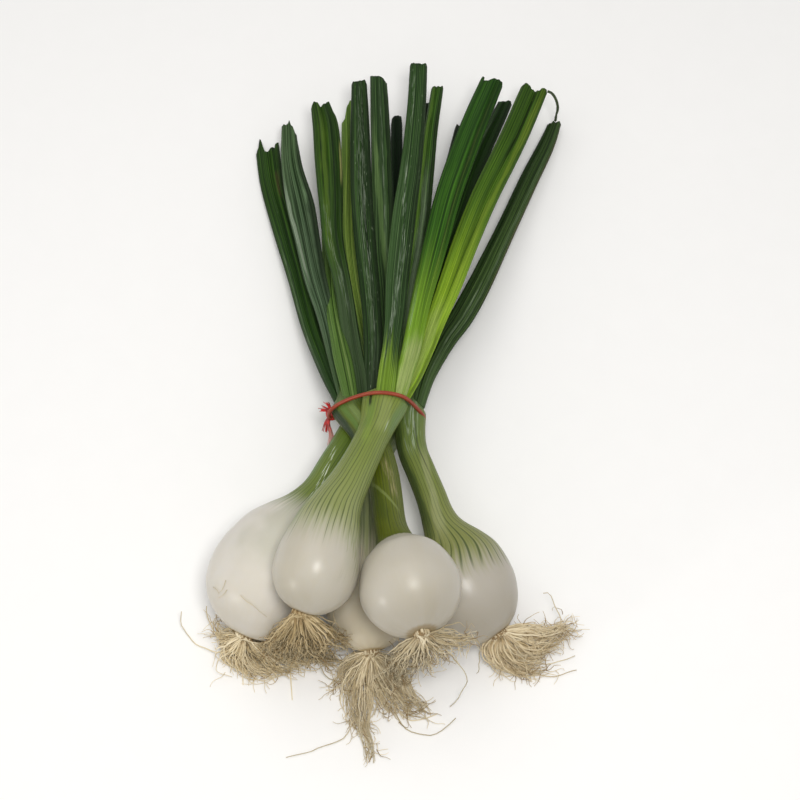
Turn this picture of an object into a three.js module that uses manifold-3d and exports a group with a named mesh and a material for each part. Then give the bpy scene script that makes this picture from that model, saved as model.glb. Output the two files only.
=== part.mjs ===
// A bunch of five spring onions lying on a table, tied once round the necks.
// Sizes are in millimetres. +Y runs from the roots to the leaf tips and +Z is up.
import * as THREE from 'three';
import { mergeVertices } from 'three/addons/utils/BufferGeometryUtils.js';
import Module from 'manifold-3d';

const wasm = await Module();
wasm.setup();
const { Manifold, Mesh: SolidMesh } = wasm;

// ---------------------------------------------------------------- driving dimensions

const FIT_GAP = 0.35; // clearance kept between touching pieces
const TABLE_HEIGHT = 0; // the bunch rests on this plane
const BUNCH_CENTRE = { x: 2.8, y: 13 }; // middle of the bunch's footprint, moved to the origin

const BULB_SIDES = 18;
const BULB_RINGS = 19;
const ROOT_END_ANGLES = [15, 32, 50, 70, 90]; // degrees from the root end to the equator

// The top of a neck closes in round its leaves, as [distance from its end, share of its girth].
const NECK_TAPER = [[14, 1], [6, 0.82], [0, 0.5]];

const LEAF_SIDES = 12;
const LEAF_RINGS = 9;
const LEAF_WALL = 0.68; // inside of the cut end as a share of the outside
const LEAF_GROOVE = 0.16; // depth of the groove along a leaf as a share of its thickness

const ROOT_SIDES = 3;
const ROOT_RINGS = 4;
const LONG_ROOT = 60; // a longer root has twice the rings
const ROOT_BENDS = 5;
const SECOND_ROOT = 0.86; // how far along its lock the second root goes, where there is one
const LOCK_WIDTH = 3.5;
const ROOT_BASE = 1.0; // radius where a root leaves the plate
const ROOT_TIP = 0.5;
const PLATE_DEPTH = 4;
const PLATE_SHARE = 0.6; // roots leave the plate within this share of its radius

const TIE_Y = -7; // where the tie goes round the necks
const TIE_RADIUS = 1.1;
const TIE_STEPS = 40;
const TIE_SIDES = 6;

const COLOURS = {
  bulb: 0xd2cbbd,
  leaf: 0x2f5a2c,
  brightLeaf: 0x6b9433,
  root: 0xb9a579,
  tie: 0xb0402f,
};
const ROUGHNESS = { bulb: 0.32, leaf: 0.5, brightLeaf: 0.48, root: 0.85, tie: 0.6 };

// Each onion gives its middle line from the root end to the top of the neck, the girth of
// the bulb beyond its equator as [distance, half width, half thickness], its leaves and roots.
// A leaf gives its middle line, its girth as [share of its length, half width, half thickness]
// and how its end was cut. Its roots grow from the plate in locks, each given as a line, and
// strays, which are single roots.
const ONIONS = [
  {
    name: 'upper_left',
    radius: 22,
    toEquator: 21.8,
    path: [
      [-38, -134, 72], [-30, -115, 79], [-24, -99, 80], [-21, -81, 77], [-17, -66, 73],
      [-11, -52, 68], [-5, -38, 62], [1, -23, 56], [5, -7, 50], [10, 9, 50],
    ],
    girth: [
      [16, 19.4, 19.4], [26, 16.4, 16.4], [36, 13, 13], [51, 10.2, 10], [80, 8.6, 8.6],
      [99, 9.4, 8.6], [118, 12.4, 9], [134, 12.4, 8.4],
    ],
    leaves: [
      {
        name: 'tall',
        path: [[5, -6, 56], [6.5, 8, 54], [8, 24, 51], [10, 44, 49], [12, 77, 46], [15, 110, 44],
          [19, 145, 42], [22, 179, 41], [24, 218, 40]],
        girth: [[0, 5.4, 2.6], [0.07, 5.4, 2.6], [0.15, 4.9, 2.6], [0.35, 6.5, 2.8],
          [0.52, 6.8, 2.8], [0.8, 5.7, 2.6], [1, 5.2, 2.4]],
        cut: { slant: 0.6, wave: 0.5, turn: 0 },
      },
      {
        name: 'wide',
        path: [[12.5, -5, 54], [15.5, 8, 53], [19, 24, 51], [23, 46, 49], [28, 70, 47.5],
          [33.5, 96, 46], [40, 124, 44], [48, 151, 42], [57.5, 180, 40], [67.5, 208, 38]],
        girth: [[0, 4, 2.4], [0.07, 4.6, 2.4], [0.14, 5.2, 2.6], [0.25, 5.4, 2.6], [0.45, 7, 2.8],
          [0.72, 7.8, 2.8], [0.88, 7.6, 2.6], [1, 7, 2.4]],
        cut: { slant: 0.6, wave: 0.6, turn: 1.1 },
      },
      {
        name: 'bright',
        bright: true,
        path: [[15, -4, 49.5], [21.5, 11, 47], [27, 27, 44.5], [33.5, 48, 42.5], [42, 73, 41],
          [51, 100, 39], [61, 128, 37], [73, 156, 35], [82, 178, 33], [94, 210, 31]],
        girth: [[0, 3.4, 2.2], [0.07, 3.9, 2.4], [0.14, 4.5, 2.4], [0.23, 5.4, 2.6],
          [0.35, 6.8, 2.8], [0.6, 7.9, 2.8], [0.9, 8.2, 2.6], [1, 8, 2.4]],
        cut: { slant: -1.4, wave: 2.0, turn: 0.4 },
      },
    ],
    roots: {
      plate: 6.5,
      locks: [
        [[-40, -134.5, 71], [-43, -137.5, 66], [-49, -140, 54], [-54.5, -139, 36],
          [-58.5, -137.5, 15], [-58, -137.5, 4]],
        [[-38.5, -135, 71], [-40, -138, 65], [-43.5, -140, 48], [-47, -139, 24], [-50, -138.5, 4]],
        [[-38, -135, 71], [-38.5, -139, 63], [-40.5, -141, 44], [-41, -140.5, 18], [-40.5, -140, 3]],
        [[-37, -135, 71], [-35, -138, 65], [-32.5, -140, 53], [-29, -138, 33], [-28.5, -136.5, 12],
          [-31, -138.5, 3]],
        [[-36.5, -134.5, 71], [-32, -137, 66], [-27, -139, 57], [-22.5, -138.5, 44],
          [-17, -135.5, 28], [-13.5, -134, 12]],
        [[-37.5, -135, 70], [-36, -138.5, 54], [-34, -138, 28], [-27, -138.5, 7],
          [-16.5, -139.5, 2]],
      ],
      strays: [
        [[-37.5, -135, 70], [-33.5, -139.5, 52], [-31.5, -140, 18], [-24.5, -147.5, 1.5],
          [-16.5, -150, 1.5], [-7.5, -155, 1.5]],
      ],
    },
  },
  {
    name: 'upper_right',
    radius: 26.3,
    toEquator: 25.6,
    path: [
      [24, -147, 76.5], [18, -122, 75], [12, -101, 70], [8, -84, 63], [6, -67, 57], [4, -51, 52],
      [1, -38, 48.5], [-6, -22, 45], [-15, -7, 42], [-19, 9, 39.5],
    ],
    girth: [
      [14, 22.2, 22.2], [20, 16.6, 16.6], [26, 11.4, 11.4], [35, 9, 9], [70, 8.6, 8.2], [100, 8.6, 8],
      [122, 9, 8.6], [140, 9.6, 8.4],
    ],
    leaves: [
      {
        name: 'outer',
        path: [[-20, -1, 38], [-28.5, 23, 30], [-38, 55, 20], [-47.5, 95, 12.5], [-56.5, 131, 6.5],
          [-63.5, 160, 3.2], [-67, 184, 2.1]],
        girth: [[0, 3.2, 2.4], [0.13, 4.4, 2.4], [0.3, 5.2, 2.6], [0.52, 6.0, 2.6],
          [0.72, 7.1, 2.6], [1, 7.2, 2.4]],
        cut: { slant: 0.8, wave: 2.0, turn: 2.4 },
      },
      {
        name: 'short',
        bright: true,
        path: [[-13.5, -5, 47], [-16.5, 12, 43.5], [-20, 30, 40], [-23, 47, 36], [-25.5, 65, 30],
          [-27.5, 86, 22], [-29, 114, 15], [-30, 150, 9], [-32, 185, 7]],
        girth: [[0, 3.8, 2.2], [0.07, 4.6, 2.3], [0.15, 5, 2.4], [0.26, 4.2, 2.3], [0.6, 3.8, 2.3],
          [1, 3.6, 2.2]],
        cut: { slant: 1.2, wave: 0.6, turn: 0 },
      },
      {
        name: 'grey',
        path: [[-17.5, -1, 42], [-23.5, 28, 35.5], [-28.5, 54, 32], [-35.5, 82, 28],
          [-40.5, 109, 25], [-45.5, 135, 22], [-51, 162, 20], [-53.5, 191, 18]],
        girth: [[0, 3.2, 2.2], [0.14, 3.9, 2.4], [0.3, 5.2, 2.5], [0.43, 6.4, 2.6], [0.57, 7.2, 2.6],
          [0.7, 8.1, 2.6], [0.84, 6.2, 2.5], [1, 4.4, 2.2]],
        cut: { slant: 2.6, wave: 1.2, turn: 0.6 },
      },
    ],
    roots: {
      plate: 7,
      locks: [
        [[23, -148, 76], [20, -149, 66], [16.5, -149, 45], [13.5, -149, 22], [11, -150, 5],
          [12.5, -153.5, 2]],
        [[23.5, -148.5, 76], [23, -149.5, 62], [22.5, -149.5, 42], [21.5, -150.5, 24]],
        [[24.5, -148.5, 76], [25.5, -149, 58], [26.5, -150, 40], [28, -151, 28]],
        [[25.5, -147, 76], [29.5, -147, 70], [36.5, -146.5, 64], [43.5, -145.5, 59], [51, -143, 55]],
        [[25, -148, 76], [29.5, -148.5, 66], [33.5, -148, 53], [37, -148.5, 42]],
        [[23, -148, 76], [18, -149.5, 65], [13.5, -148.5, 50], [10.5, -148.5, 30], [8, -149, 9],
          [11, -153, 3]],
      ],
      strays: [
        [[25.5, -148.5, 75], [31.5, -148.5, 66], [40, -150, 48], [46.5, -153, 30],
          [47.5, -155, 22], [44, -160.5, 8], [39.5, -163.5, 3]],
        [[26.5, -147.5, 75], [38.5, -146, 66], [50, -143.5, 58], [54, -145, 50],
          [54.5, -149.5, 36], [54, -152.5, 22]],
      ],
    },
  },
  {
    name: 'left',
    radius: 32.6,
    toEquator: 30,
    path: [
      [-70, -129, 21], [-57.5, -103.5, 31.6], [-46.5, -85, 37], [-37.5, -68, 39], [-30.5, -55, 38.6],
      [-23.5, -40, 37], [-17, -27, 34], [-11, -15, 31], [-5, -7, 29], [-2, 9, 30],
    ],
    girth: [
      [17, 28.8, 28.8], [27, 24.4, 24.4], [36, 18, 18], [46, 12.2, 12.2], [58, 9.4, 9.2], [76, 8.6, 8.4],
      [96, 8.8, 8], [112, 9.4, 8.4], [136, 9.2, 8.6],
    ],
    leaves: [
      {
        name: 'broad',
        path: [[-8, -3, 35], [-10, 15, 37.5], [-13, 31, 38], [-16, 49, 38], [-20, 75, 37],
          [-25, 102, 36], [-27, 129, 34], [-29, 158, 32], [-31, 182, 31], [-34, 197, 30]],
        girth: [[0, 3.0, 2.2], [0.14, 3.9, 2.4], [0.4, 4.6, 2.5], [0.55, 6.0, 2.6],
          [0.78, 7.9, 2.8], [0.92, 7.6, 2.6], [1, 6.2, 2.4]],
        cut: { slant: 0.3, wave: 1.5, turn: 0.2 },
      },
      {
        name: 'narrow',
        path: [[-1.5, 0, 27], [-4, 31, 25], [-9, 57, 23], [-13, 81, 21], [-16, 112, 18],
          [-17, 140, 16], [-17, 176, 14], [-18, 207, 12]],
        girth: [[0, 2.6, 2.2], [0.3, 3.6, 2.3], [0.6, 5.0, 2.4], [0.85, 5.0, 2.4], [1, 4.0, 2.2]],
        cut: { slant: 2.0, wave: 0.6, turn: 0.5 },
      },
      {
        name: 'speckled',
        path: [[-2.5, -3, 34.5], [-2.5, 16, 37], [-2, 31, 38], [-2.5, 46, 39], [-4, 68, 39],
          [-7, 100, 39], [-9, 127, 38], [-10, 161, 37], [-11.5, 211, 35]],
        girth: [[0, 3, 2.2], [0.1, 3.5, 2.4], [0.2, 4, 2.5], [0.32, 5.4, 2.6], [0.5, 6.2, 2.7],
          [0.8, 5.8, 2.6], [1, 4.6, 2.4]],
        cut: { slant: 0.9, wave: 0.5, turn: 0.3 },
      },
    ],
    roots: {
      plate: 8,
      locks: [
        [[-70, -130, 21], [-76, -130, 12], [-80, -128, 6], [-83, -123, 4], [-84.5, -118.5, 5]],
        [[-70, -130, 21], [-75, -133.5, 10], [-76, -136.5, 4], [-71.5, -140, 1.5],
          [-64.5, -143.5, 1.5], [-58, -145.5, 1.5]],
        [[-69.5, -130, 21], [-70, -134, 9], [-65.5, -138.5, 3], [-57, -143, 1.5],
          [-46, -144.5, 1.5]],
        [[-69, -130, 21], [-63, -132.5, 11], [-56, -135.5, 4], [-46, -138.5, 2], [-38.5, -139.5, 2]],
        [[-68.5, -129, 21], [-60.5, -129.5, 14], [-53, -131.5, 8], [-43, -135, 4],
          [-30, -135.5, 2.5], [-18, -138, 2]],
        [[-70, -130, 20], [-74, -132.5, 12], [-78, -132.5, 6], [-73, -136.5, 2], [-61, -140, 1.5]],
      ],
      strays: [
        [[-72.5, -130, 14], [-82.5, -134, 5], [-92, -131, 2], [-100.5, -125, 1.5], [-105, -119, 4],
          [-105, -112.5, 8]],
        [[-73.5, -130.5, 12], [-80.5, -131, 6], [-86.5, -122.5, 4], [-91, -113.5, 5],
          [-92, -109, 8]],
      ],
    },
  },
  {
    name: 'right',
    radius: 28,
    toEquator: 30,
    path: [
      [65, -129, 21], [47, -105, 27.6], [42, -84, 32], [35, -72, 35], [31, -65, 36], [28, -57, 37],
      [23, -43, 37], [19, -30, 36], [18, -17, 35], [18.5, -7, 35.5], [21.5, 9, 33],
    ],
    girth: [
      [16, 24.0, 24.0], [25, 17.6, 17.6], [34, 11.6, 11.6], [43, 9.0, 9.0], [53, 8.0, 8.0],
      [67, 7.4, 7.4], [88, 7.6, 7.6], [103, 8.2, 8.2], [119, 8.6, 8.4],
    ],
    leaves: [
      {
        name: 'far',
        path: [[23, -4, 38], [27.5, 13, 37], [33, 27, 35], [40, 42, 32.5], [46.8, 54, 30],
          [57, 75, 27], [70.5, 108, 21], [80, 132, 16], [89.5, 156, 12], [101.5, 185, 7],
          [107.5, 203, 5]],
        girth: [[0, 3.6, 2.4], [0.08, 4.4, 2.5], [0.16, 5.4, 2.6], [0.3, 6.9, 2.7],
          [0.6, 5.9, 2.6], [0.85, 5.4, 2.5], [1, 4, 2.3]],
        cut: { slant: 0.7, wave: 0.7, turn: 0.9 },
      },
      {
        name: 'dark',
        path: [[22, 0, 31], [26, 34, 29], [31, 68, 26], [38, 95, 23], [46, 123, 20], [54, 151, 18],
          [62, 174, 16], [70, 194, 14.5], [78, 213, 13]],
        girth: [[0, 2.6, 2.1], [0.2, 3.4, 2.3], [0.4, 4.6, 2.5], [0.6, 5.2, 2.5], [0.85, 5.2, 2.5],
          [1, 4.2, 2.3]],
        cut: { slant: 0.8, wave: 0.8, turn: 1.4 },
      },
      {
        name: 'back',
        path: [[19.5, 0, 27.5], [24, 59, 20], [30, 100, 14], [37, 135, 8.5], [43, 168, 4.2],
          [50, 200, 2.05]],
        girth: [[0, 2.4, 2.0], [0.3, 3.2, 2.2], [0.6, 4.0, 2.3], [1, 3.2, 2.2]],
        cut: { slant: 0.5, wave: 0.8, turn: 0 },
      },
    ],
    roots: {
      plate: 7.5,
      locks: [
        [[64.5, -129, 21], [60, -132, 16], [62, -137, 8], [69, -141.5, 3], [77.5, -144, 1.5],
          [83, -142.5, 1.5]],
        [[65, -130, 21], [62, -133.5, 14], [66.5, -139.5, 6], [73.5, -142.5, 2],
          [83.5, -144.5, 1.5], [93.5, -142, 1.5]],
        [[66, -129, 21], [65.5, -134, 14], [71, -138, 6], [79.5, -140.5, 2], [85.5, -137.5, 2],
          [91.5, -133.5, 3]],
        [[66.5, -128.5, 21], [69.5, -133.5, 14], [75.5, -136.5, 7], [84, -136, 4],
          [90.5, -132.5, 4], [96, -129.5, 4]],
        [[67, -128, 21], [73.5, -131, 15], [80.5, -133, 9], [89, -131, 6], [97, -127, 5],
          [103.5, -122.5, 5]],
        [[68, -127.5, 21], [74.5, -128.5, 17], [82, -129.5, 12], [91, -127, 9], [99, -122.5, 8],
          [107.5, -123, 6]],
        [[68, -127, 21], [75, -126, 19], [82, -125, 16], [88.5, -125.5, 13], [96, -122.5, 11],
          [103, -118.5, 9]],
      ],
      strays: [
        [[69, -126.5, 20], [82.5, -127, 14], [94.5, -126, 11], [99, -120, 11], [97, -111.5, 12],
          [94.5, -104.5, 14], [90.5, -104.5, 15]],
        [[68, -129.5, 19], [76.5, -139.5, 5], [85.5, -145, 1.5], [96.5, -146, 1.5],
          [108, -142.5, 1.5]],
        [[68, -129, 20], [80, -134, 8], [91, -139.5, 2], [100, -138.5, 2], [107.5, -135.5, 4]],
      ],
    },
  },
  {
    name: 'middle',
    radius: 22.4,
    toEquator: 22.5,
    path: [
      [-2, -137, 17], [-4, -115, 21.8], [-4, -94, 24], [-4, -71, 24], [-4, -47, 23], [0, -26, 21],
      [8.5, -7, 19], [10, 9, 18],
    ],
    girth: [
      [12, 18.8, 18.8], [19, 13.6, 13.6], [27, 10, 10], [38, 8.6, 8.4], [60, 8.2, 8], [90, 8.2, 8],
      [111, 8.4, 8], [127, 8.6, 8],
    ],
    leaves: [
      {
        name: 'striped',
        path: [[6.5, -1, 21.5], [7, 42, 27], [6, 67, 28], [4, 99, 29], [3, 132, 30], [2, 165, 31],
          [1, 193, 31], [0, 218, 30]],
        girth: [[0, 2.6, 2.0], [0.2, 4.6, 2.2], [0.45, 6.3, 2.5], [0.8, 5.8, 2.5], [1, 5.0, 2.3]],
        cut: { slant: -1.6, wave: 0.6, turn: 0.7 },
      },
      {
        name: 'pale',
        bright: true,
        path: [[13, -1, 21.5], [17, 56, 25], [20, 81, 26], [25, 113, 27], [28, 146, 28],
          [31, 177, 29], [35, 208, 29]],
        girth: [[0, 2.4, 2.0], [0.25, 3.4, 2.2], [0.5, 4.6, 2.4], [0.75, 4.3, 2.4], [1, 3.6, 2.2]],
        cut: { slant: 0.7, wave: 0.5, turn: 0 },
      },
      {
        name: 'low',
        path: [[7, -1, 15.5], [9, 54, 12], [10, 88, 9], [11, 129, 5.5], [11, 171, 3.2], [11, 200, 2.05]],
        girth: [[0, 2.4, 2.0], [0.3, 3.4, 2.2], [0.6, 3.8, 2.3], [1, 3.4, 2.2]],
        cut: { slant: 0.5, wave: 0.8, turn: 0.8 },
      },
      {
        name: 'hidden',
        path: [[13, -1, 15.5], [15, 62, 11], [18, 96, 8], [21, 130, 5], [25, 165, 3.4], [28, 194, 2.4],
          [30, 215, 1.95]],
        girth: [[0, 2.4, 2.0], [0.3, 3.0, 2.1], [0.6, 3.5, 2.2], [1, 2.9, 2.1]],
        cut: { slant: 0.5, wave: 0.6, turn: 0.3 },
      },
    ],
    roots: {
      plate: 6.5,
      locks: [
        [[-5, -138, 15], [-11.5, -140, 8], [-16, -143, 3], [-18.5, -149.5, 1.5], [-23.5, -155, 1]],
        [[-4, -138, 14], [-9.5, -145, 5], [-12, -154, 1.5], [-12.5, -165, 1.5], [-10, -173.5, 1.5],
          [-5.5, -175.5, 1.5]],
        [[-3, -138.5, 14], [-5, -146.5, 4], [-5, -157, 1.5], [-5.5, -166, 1.5], [-6.5, -175, 1.5],
          [-3.5, -184, 1.5], [-2.5, -193.5, 1]],
        [[-2.5, -138.5, 14], [-1.5, -146.5, 4], [3, -157.5, 1.5], [8.5, -165.5, 1.5],
          [11.5, -169, 1.5]],
        [[-2, -138.5, 14], [0.5, -144, 5], [5.5, -152, 2], [11.5, -159.5, 2], [17.5, -165.5, 1.5],
          [21.5, -167.5, 1.5]],
        [[-1, -138, 14], [6, -143.5, 6], [13, -150, 2.5], [20, -159.5, 1.5], [29, -168.5, 1.5]],
        [[-1, -137.5, 14], [7, -141.5, 7], [14, -145, 3], [15.5, -150.5, 1.5], [14, -155.5, 1.5]],
      ],
      strays: [
        [[-6, -142, 8], [-12, -154, 2], [-12.5, -171.5, 1.5], [-17, -180, 1], [-28, -185, 1],
          [-47.5, -191, 1]],
        [[1, -143.5, 6], [8.5, -157, 2], [12, -169.5, 1.5], [17, -176, 1], [29, -178.5, 1],
          [37.5, -175, 1], [43, -169.5, 2]],
      ],
    },
  },
];

// The knot of the tie sits on its left side. Its loose ends are given as middle lines.
const KNOT = { x: -26.5, z: 37, size: 2.6, stretch: [1, 1.5, 1.2], endBase: 1.5, endTip: 0.7 };
const KNOT_ENDS = [
  [[-26.5, -7, 37], [-29, -6, 38], [-32.5, -5, 37]],
  [[-26.5, -7, 37], [-28.5, -12, 36], [-27, -18, 33], [-27.5, -24, 31]],
  [[-26.5, -7, 37], [-29, -10, 33], [-30, -14, 28]],
  [[-26.5, -7, 37], [-28, -4, 40], [-29, -3, 41]],
];

// ---------------------------------------------------------------- solids

function closedMesh(geometry) {
  const bare = new THREE.BufferGeometry();
  bare.setAttribute('position', geometry.getAttribute('position').clone());
  bare.setIndex(geometry.getIndex());
  const merged = mergeVertices(bare, 1e-4);
  const corners = merged.getIndex().array;
  const kept = [];
  for (let i = 0; i < corners.length; i += 3) {
    const [a, b, c] = corners.slice(i, i + 3);
    if (a !== b && b !== c && c !== a) kept.push(a, b, c);
  }
  return { points: merged.getAttribute('position').array, corners: kept };
}

function signedVolume({ points, corners }) {
  const [a, b, c] = [new THREE.Vector3(), new THREE.Vector3(), new THREE.Vector3()];
  let sum = 0;
  for (let i = 0; i < corners.length; i += 3) {
    a.fromArray(points, corners[i] * 3);
    b.fromArray(points, corners[i + 1] * 3);
    c.fromArray(points, corners[i + 2] * 3);
    sum += a.dot(b.cross(c));
  }
  return sum / 6;
}

function toSolid(geometry) {
  const mesh = closedMesh(geometry);
  if (signedVolume(mesh) < 0) mesh.corners.reverse();
  return new Manifold(new SolidMesh({
    numProp: 3,
    vertProperties: new Float32Array(mesh.points),
    triVerts: new Uint32Array(mesh.corners),
  }));
}

function toGeometry(solid) {
  const mesh = solid.getMesh();
  const geometry = new THREE.BufferGeometry();
  geometry.setAttribute('position', new THREE.BufferAttribute(mesh.vertProperties, 3));
  geometry.setIndex(new THREE.BufferAttribute(mesh.triVerts, 1));
  geometry.computeVertexNormals();
  return geometry;
}

function largestBody(solid) {
  const bodies = solid.decompose();
  return bodies.reduce((best, body) => (body.volume() > best.volume() ? body : best));
}

// A small seeded draw, so that the roots fall the same way each time.
function seededDraw(seed) {
  let state = seed;
  return () => {
    state = (state * 1664525 + 1013904223) % 4294967296;
    return state / 4294967296;
  };
}

// ---------------------------------------------------------------- limbs

// A limb is a lathe whose rings are laid along a path. Row k of the lathe takes the size and
// place of ring k, and rows between two rings fall between them.
function ringAt(girth, share) {
  const ring = girth.getPoint(THREE.MathUtils.clamp(share, 0, 1));
  return { along: ring.x, wide: ring.y, thick: ring.z };
}

function frameAt(path, share) {
  const at = THREE.MathUtils.clamp(share, 0, 1);
  const forward = path.getTangentAt(at);
  const side = new THREE.Vector3().crossVectors(forward, new THREE.Vector3(0, 0, 1)).normalize();
  const up = new THREE.Vector3().crossVectors(side, forward);
  return { centre: path.getPointAt(at), forward, side, up };
}

function curveThrough(points) {
  return new THREE.CatmullRomCurve3(points.map((p) => new THREE.Vector3(...p)), false, 'centripetal');
}

function limb({ path, girth, profile, rings, sides, section, endShift = () => 0 }) {
  const geometry = new THREE.LatheGeometry(profile, sides);
  const position = geometry.getAttribute('position');
  const length = path.getLength();
  for (let i = 0; i < position.count; i += 1) {
    const row = position.getY(i);
    const reach = Math.hypot(position.getX(i), position.getZ(i));
    const angle = Math.atan2(position.getZ(i), position.getX(i));
    const ring = ringAt(girth, row / rings);
    const along = ring.along + (row === rings ? endShift(angle) * Math.min(reach, 1) : 0);
    const { centre, forward, side, up } = frameAt(path, along / length);
    const beyond = Math.max(along - length, 0) + Math.min(along, 0);
    const { across, above } = section(angle, ring);
    centre.addScaledVector(forward, beyond);
    centre.addScaledVector(side, across * reach);
    centre.addScaledVector(up, above * reach);
    position.setXYZ(i, centre.x, centre.y, centre.z);
  }
  return geometry;
}

function ovalSection(angle, ring) {
  return { across: ring.wide * Math.cos(angle), above: ring.thick * Math.sin(angle) };
}

// A leaf is a flattened tube with a shallow groove along its upper face.
function leafSection(angle, ring) {
  const groove = LEAF_GROOVE * ring.thick * Math.exp(-((Math.cos(angle) / 0.4) ** 2));
  const above = ring.thick * Math.sin(angle) - (Math.sin(angle) > 0 ? groove : 0);
  return { across: ring.wide * Math.cos(angle), above };
}

function solidRows(rings) {
  const rows = [new THREE.Vector2(0, 0)];
  for (let k = 0; k <= rings; k += 1) rows.push(new THREE.Vector2(1, k));
  return rows;
}

// ---------------------------------------------------------------- pieces

function bulbSolid(onion, grow = 0) {
  const path = curveThrough(onion.path);
  const rootEnd = ROOT_END_ANGLES.map((degrees) => {
    const angle = THREE.MathUtils.degToRad(degrees);
    const first = Math.cos(THREE.MathUtils.degToRad(ROOT_END_ANGLES[0]));
    const along = onion.toEquator * (1 - Math.cos(angle) / first);
    return [along, onion.radius * Math.sin(angle), onion.radius * Math.sin(angle)];
  });
  const shoulder = onion.girth.map(([past, wide, thick]) => [onion.toEquator + past, wide, thick]);
  const rows = [...rootEnd, ...shoulder].map(([along, wide, thick]) => [along, wide + grow, thick + grow]);
  rows[0][0] -= grow;
  const end = path.getLength() + grow;
  const [, wide, thick] = rows.pop();
  NECK_TAPER.forEach(([before, share]) => rows.push([end - before, wide * share, thick * share]));
  const profile = solidRows(BULB_RINGS);
  profile.push(new THREE.Vector2(0, BULB_RINGS));
  return toSolid(limb({
    path, girth: curveThrough(rows), profile, rings: BULB_RINGS, sides: BULB_SIDES, section: ovalSection,
  }));
}

function leafSolid(leaf, grow = 0) {
  const path = curveThrough(leaf.path);
  const length = path.getLength();
  const start = FIT_GAP * 1.2 - grow;
  const rows = leaf.girth.map(([share, wide, thick]) => [
    start + share * (length - start) + (share === 1 ? grow : 0), wide + grow, thick + grow,
  ]);
  const profile = solidRows(LEAF_RINGS);
  if (grow === 0) {
    profile.push(new THREE.Vector2(LEAF_WALL, LEAF_RINGS));
    profile.push(new THREE.Vector2(LEAF_WALL * 0.9, LEAF_RINGS - 0.45));
    profile.push(new THREE.Vector2(0, LEAF_RINGS - 0.6));
  } else {
    profile.push(new THREE.Vector2(0, LEAF_RINGS));
  }
  const { slant, wave, turn } = leaf.cut;
  return toSolid(limb({
    path,
    girth: curveThrough(rows),
    profile,
    rings: LEAF_RINGS,
    sides: LEAF_SIDES,
    section: leafSection,
    endShift: (angle) => -slant * Math.cos(angle) + wave * Math.cos(3 * angle + turn) - wave,
  }));
}

function rootSolid(points, base, tip) {
  const path = curveThrough(points);
  const length = path.getLength();
  const rings = length > LONG_ROOT ? 2 * ROOT_RINGS : ROOT_RINGS;
  const profile = solidRows(rings);
  profile.push(new THREE.Vector2(0, rings));
  return toSolid(limb({
    path,
    girth: curveThrough([[0, base, base], [length / 2, (base + tip) / 2, (base + tip) / 2], [length, tip, tip]]),
    profile,
    rings,
    sides: ROOT_SIDES,
    section: ovalSection,
  }));
}

// The flat plate at the foot of a bulb, which every root grows from.
function plateSolid(onion) {
  const { centre, forward } = frameAt(curveThrough(onion.path), 0);
  const radius = onion.roots.plate;
  const geometry = new THREE.LatheGeometry([
    new THREE.Vector2(0, -FIT_GAP),
    new THREE.Vector2(radius * 0.94, -FIT_GAP),
    new THREE.Vector2(radius, -PLATE_DEPTH * 0.4),
    new THREE.Vector2(radius * 0.6, -PLATE_DEPTH),
    new THREE.Vector2(0, -PLATE_DEPTH * 1.1),
  ], 10);
  const turn = new THREE.Quaternion().setFromUnitVectors(new THREE.Vector3(0, 1, 0), forward);
  geometry.applyQuaternion(turn);
  geometry.translate(centre.x, centre.y, centre.z);
  return toSolid(geometry);
}

// Keeps a root out of the bulbs and up on the table.
function clearOfBulbs(point) {
  ONIONS.forEach((onion) => {
    const centre = new THREE.Vector3(...onion.path[1]);
    const away = point.clone().sub(centre);
    const nearest = onion.radius + ROOT_BASE + FIT_GAP;
    if (away.length() < nearest) point.copy(centre).addScaledVector(away.normalize(), nearest);
  });
  point.z = Math.max(point.z, TABLE_HEIGHT + ROOT_BASE + FIT_GAP);
  return point;
}

// A root starts inside the plate and follows a line. It is furthest from the line halfway,
// because the roots of a lock spread and then mat together.
function rootPath(onion, line, width, share, draw) {
  const { centre, forward, side, up } = frameAt(curveThrough(onion.path), 0);
  const ring = onion.roots.plate * PLATE_SHARE * Math.sqrt(draw());
  const around = draw() * 2 * Math.PI;
  const start = centre.clone().addScaledVector(forward, -PLATE_DEPTH * 0.5);
  start.addScaledVector(side, ring * Math.cos(around)).addScaledVector(up, ring * Math.sin(around));
  const beside = new THREE.Vector3(draw() - 0.5, draw() - 0.5, draw() * 0.4).multiplyScalar(2 * width);
  const followed = curveThrough(line);
  const points = [start.toArray()];
  for (let k = 1; k <= ROOT_BENDS; k += 1) {
    const along = (k / ROOT_BENDS) * share;
    const point = followed.getPointAt(along).addScaledVector(beside, Math.sin(Math.PI * along));
    points.push(clearOfBulbs(point).toArray());
  }
  return points;
}

function rootPaths(onion, seed) {
  const draw = seededDraw(seed);
  const paths = onion.roots.strays.map((line) => rootPath(onion, line, 0, 1, draw));
  onion.roots.locks.forEach((line, k) => {
    paths.push(rootPath(onion, line, 0, 1, draw));
    if (k % 2 === 0) paths.push(rootPath(onion, line, LOCK_WIDTH, SECOND_ROOT, draw));
  });
  return paths;
}

function rootTuft(onion, seed, grow = 0) {
  let tuft = plateSolid(onion);
  rootPaths(onion, seed).forEach((points) => {
    tuft = tuft.add(rootSolid(points, ROOT_BASE + grow, ROOT_TIP + grow));
  });
  return tuft;
}

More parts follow.
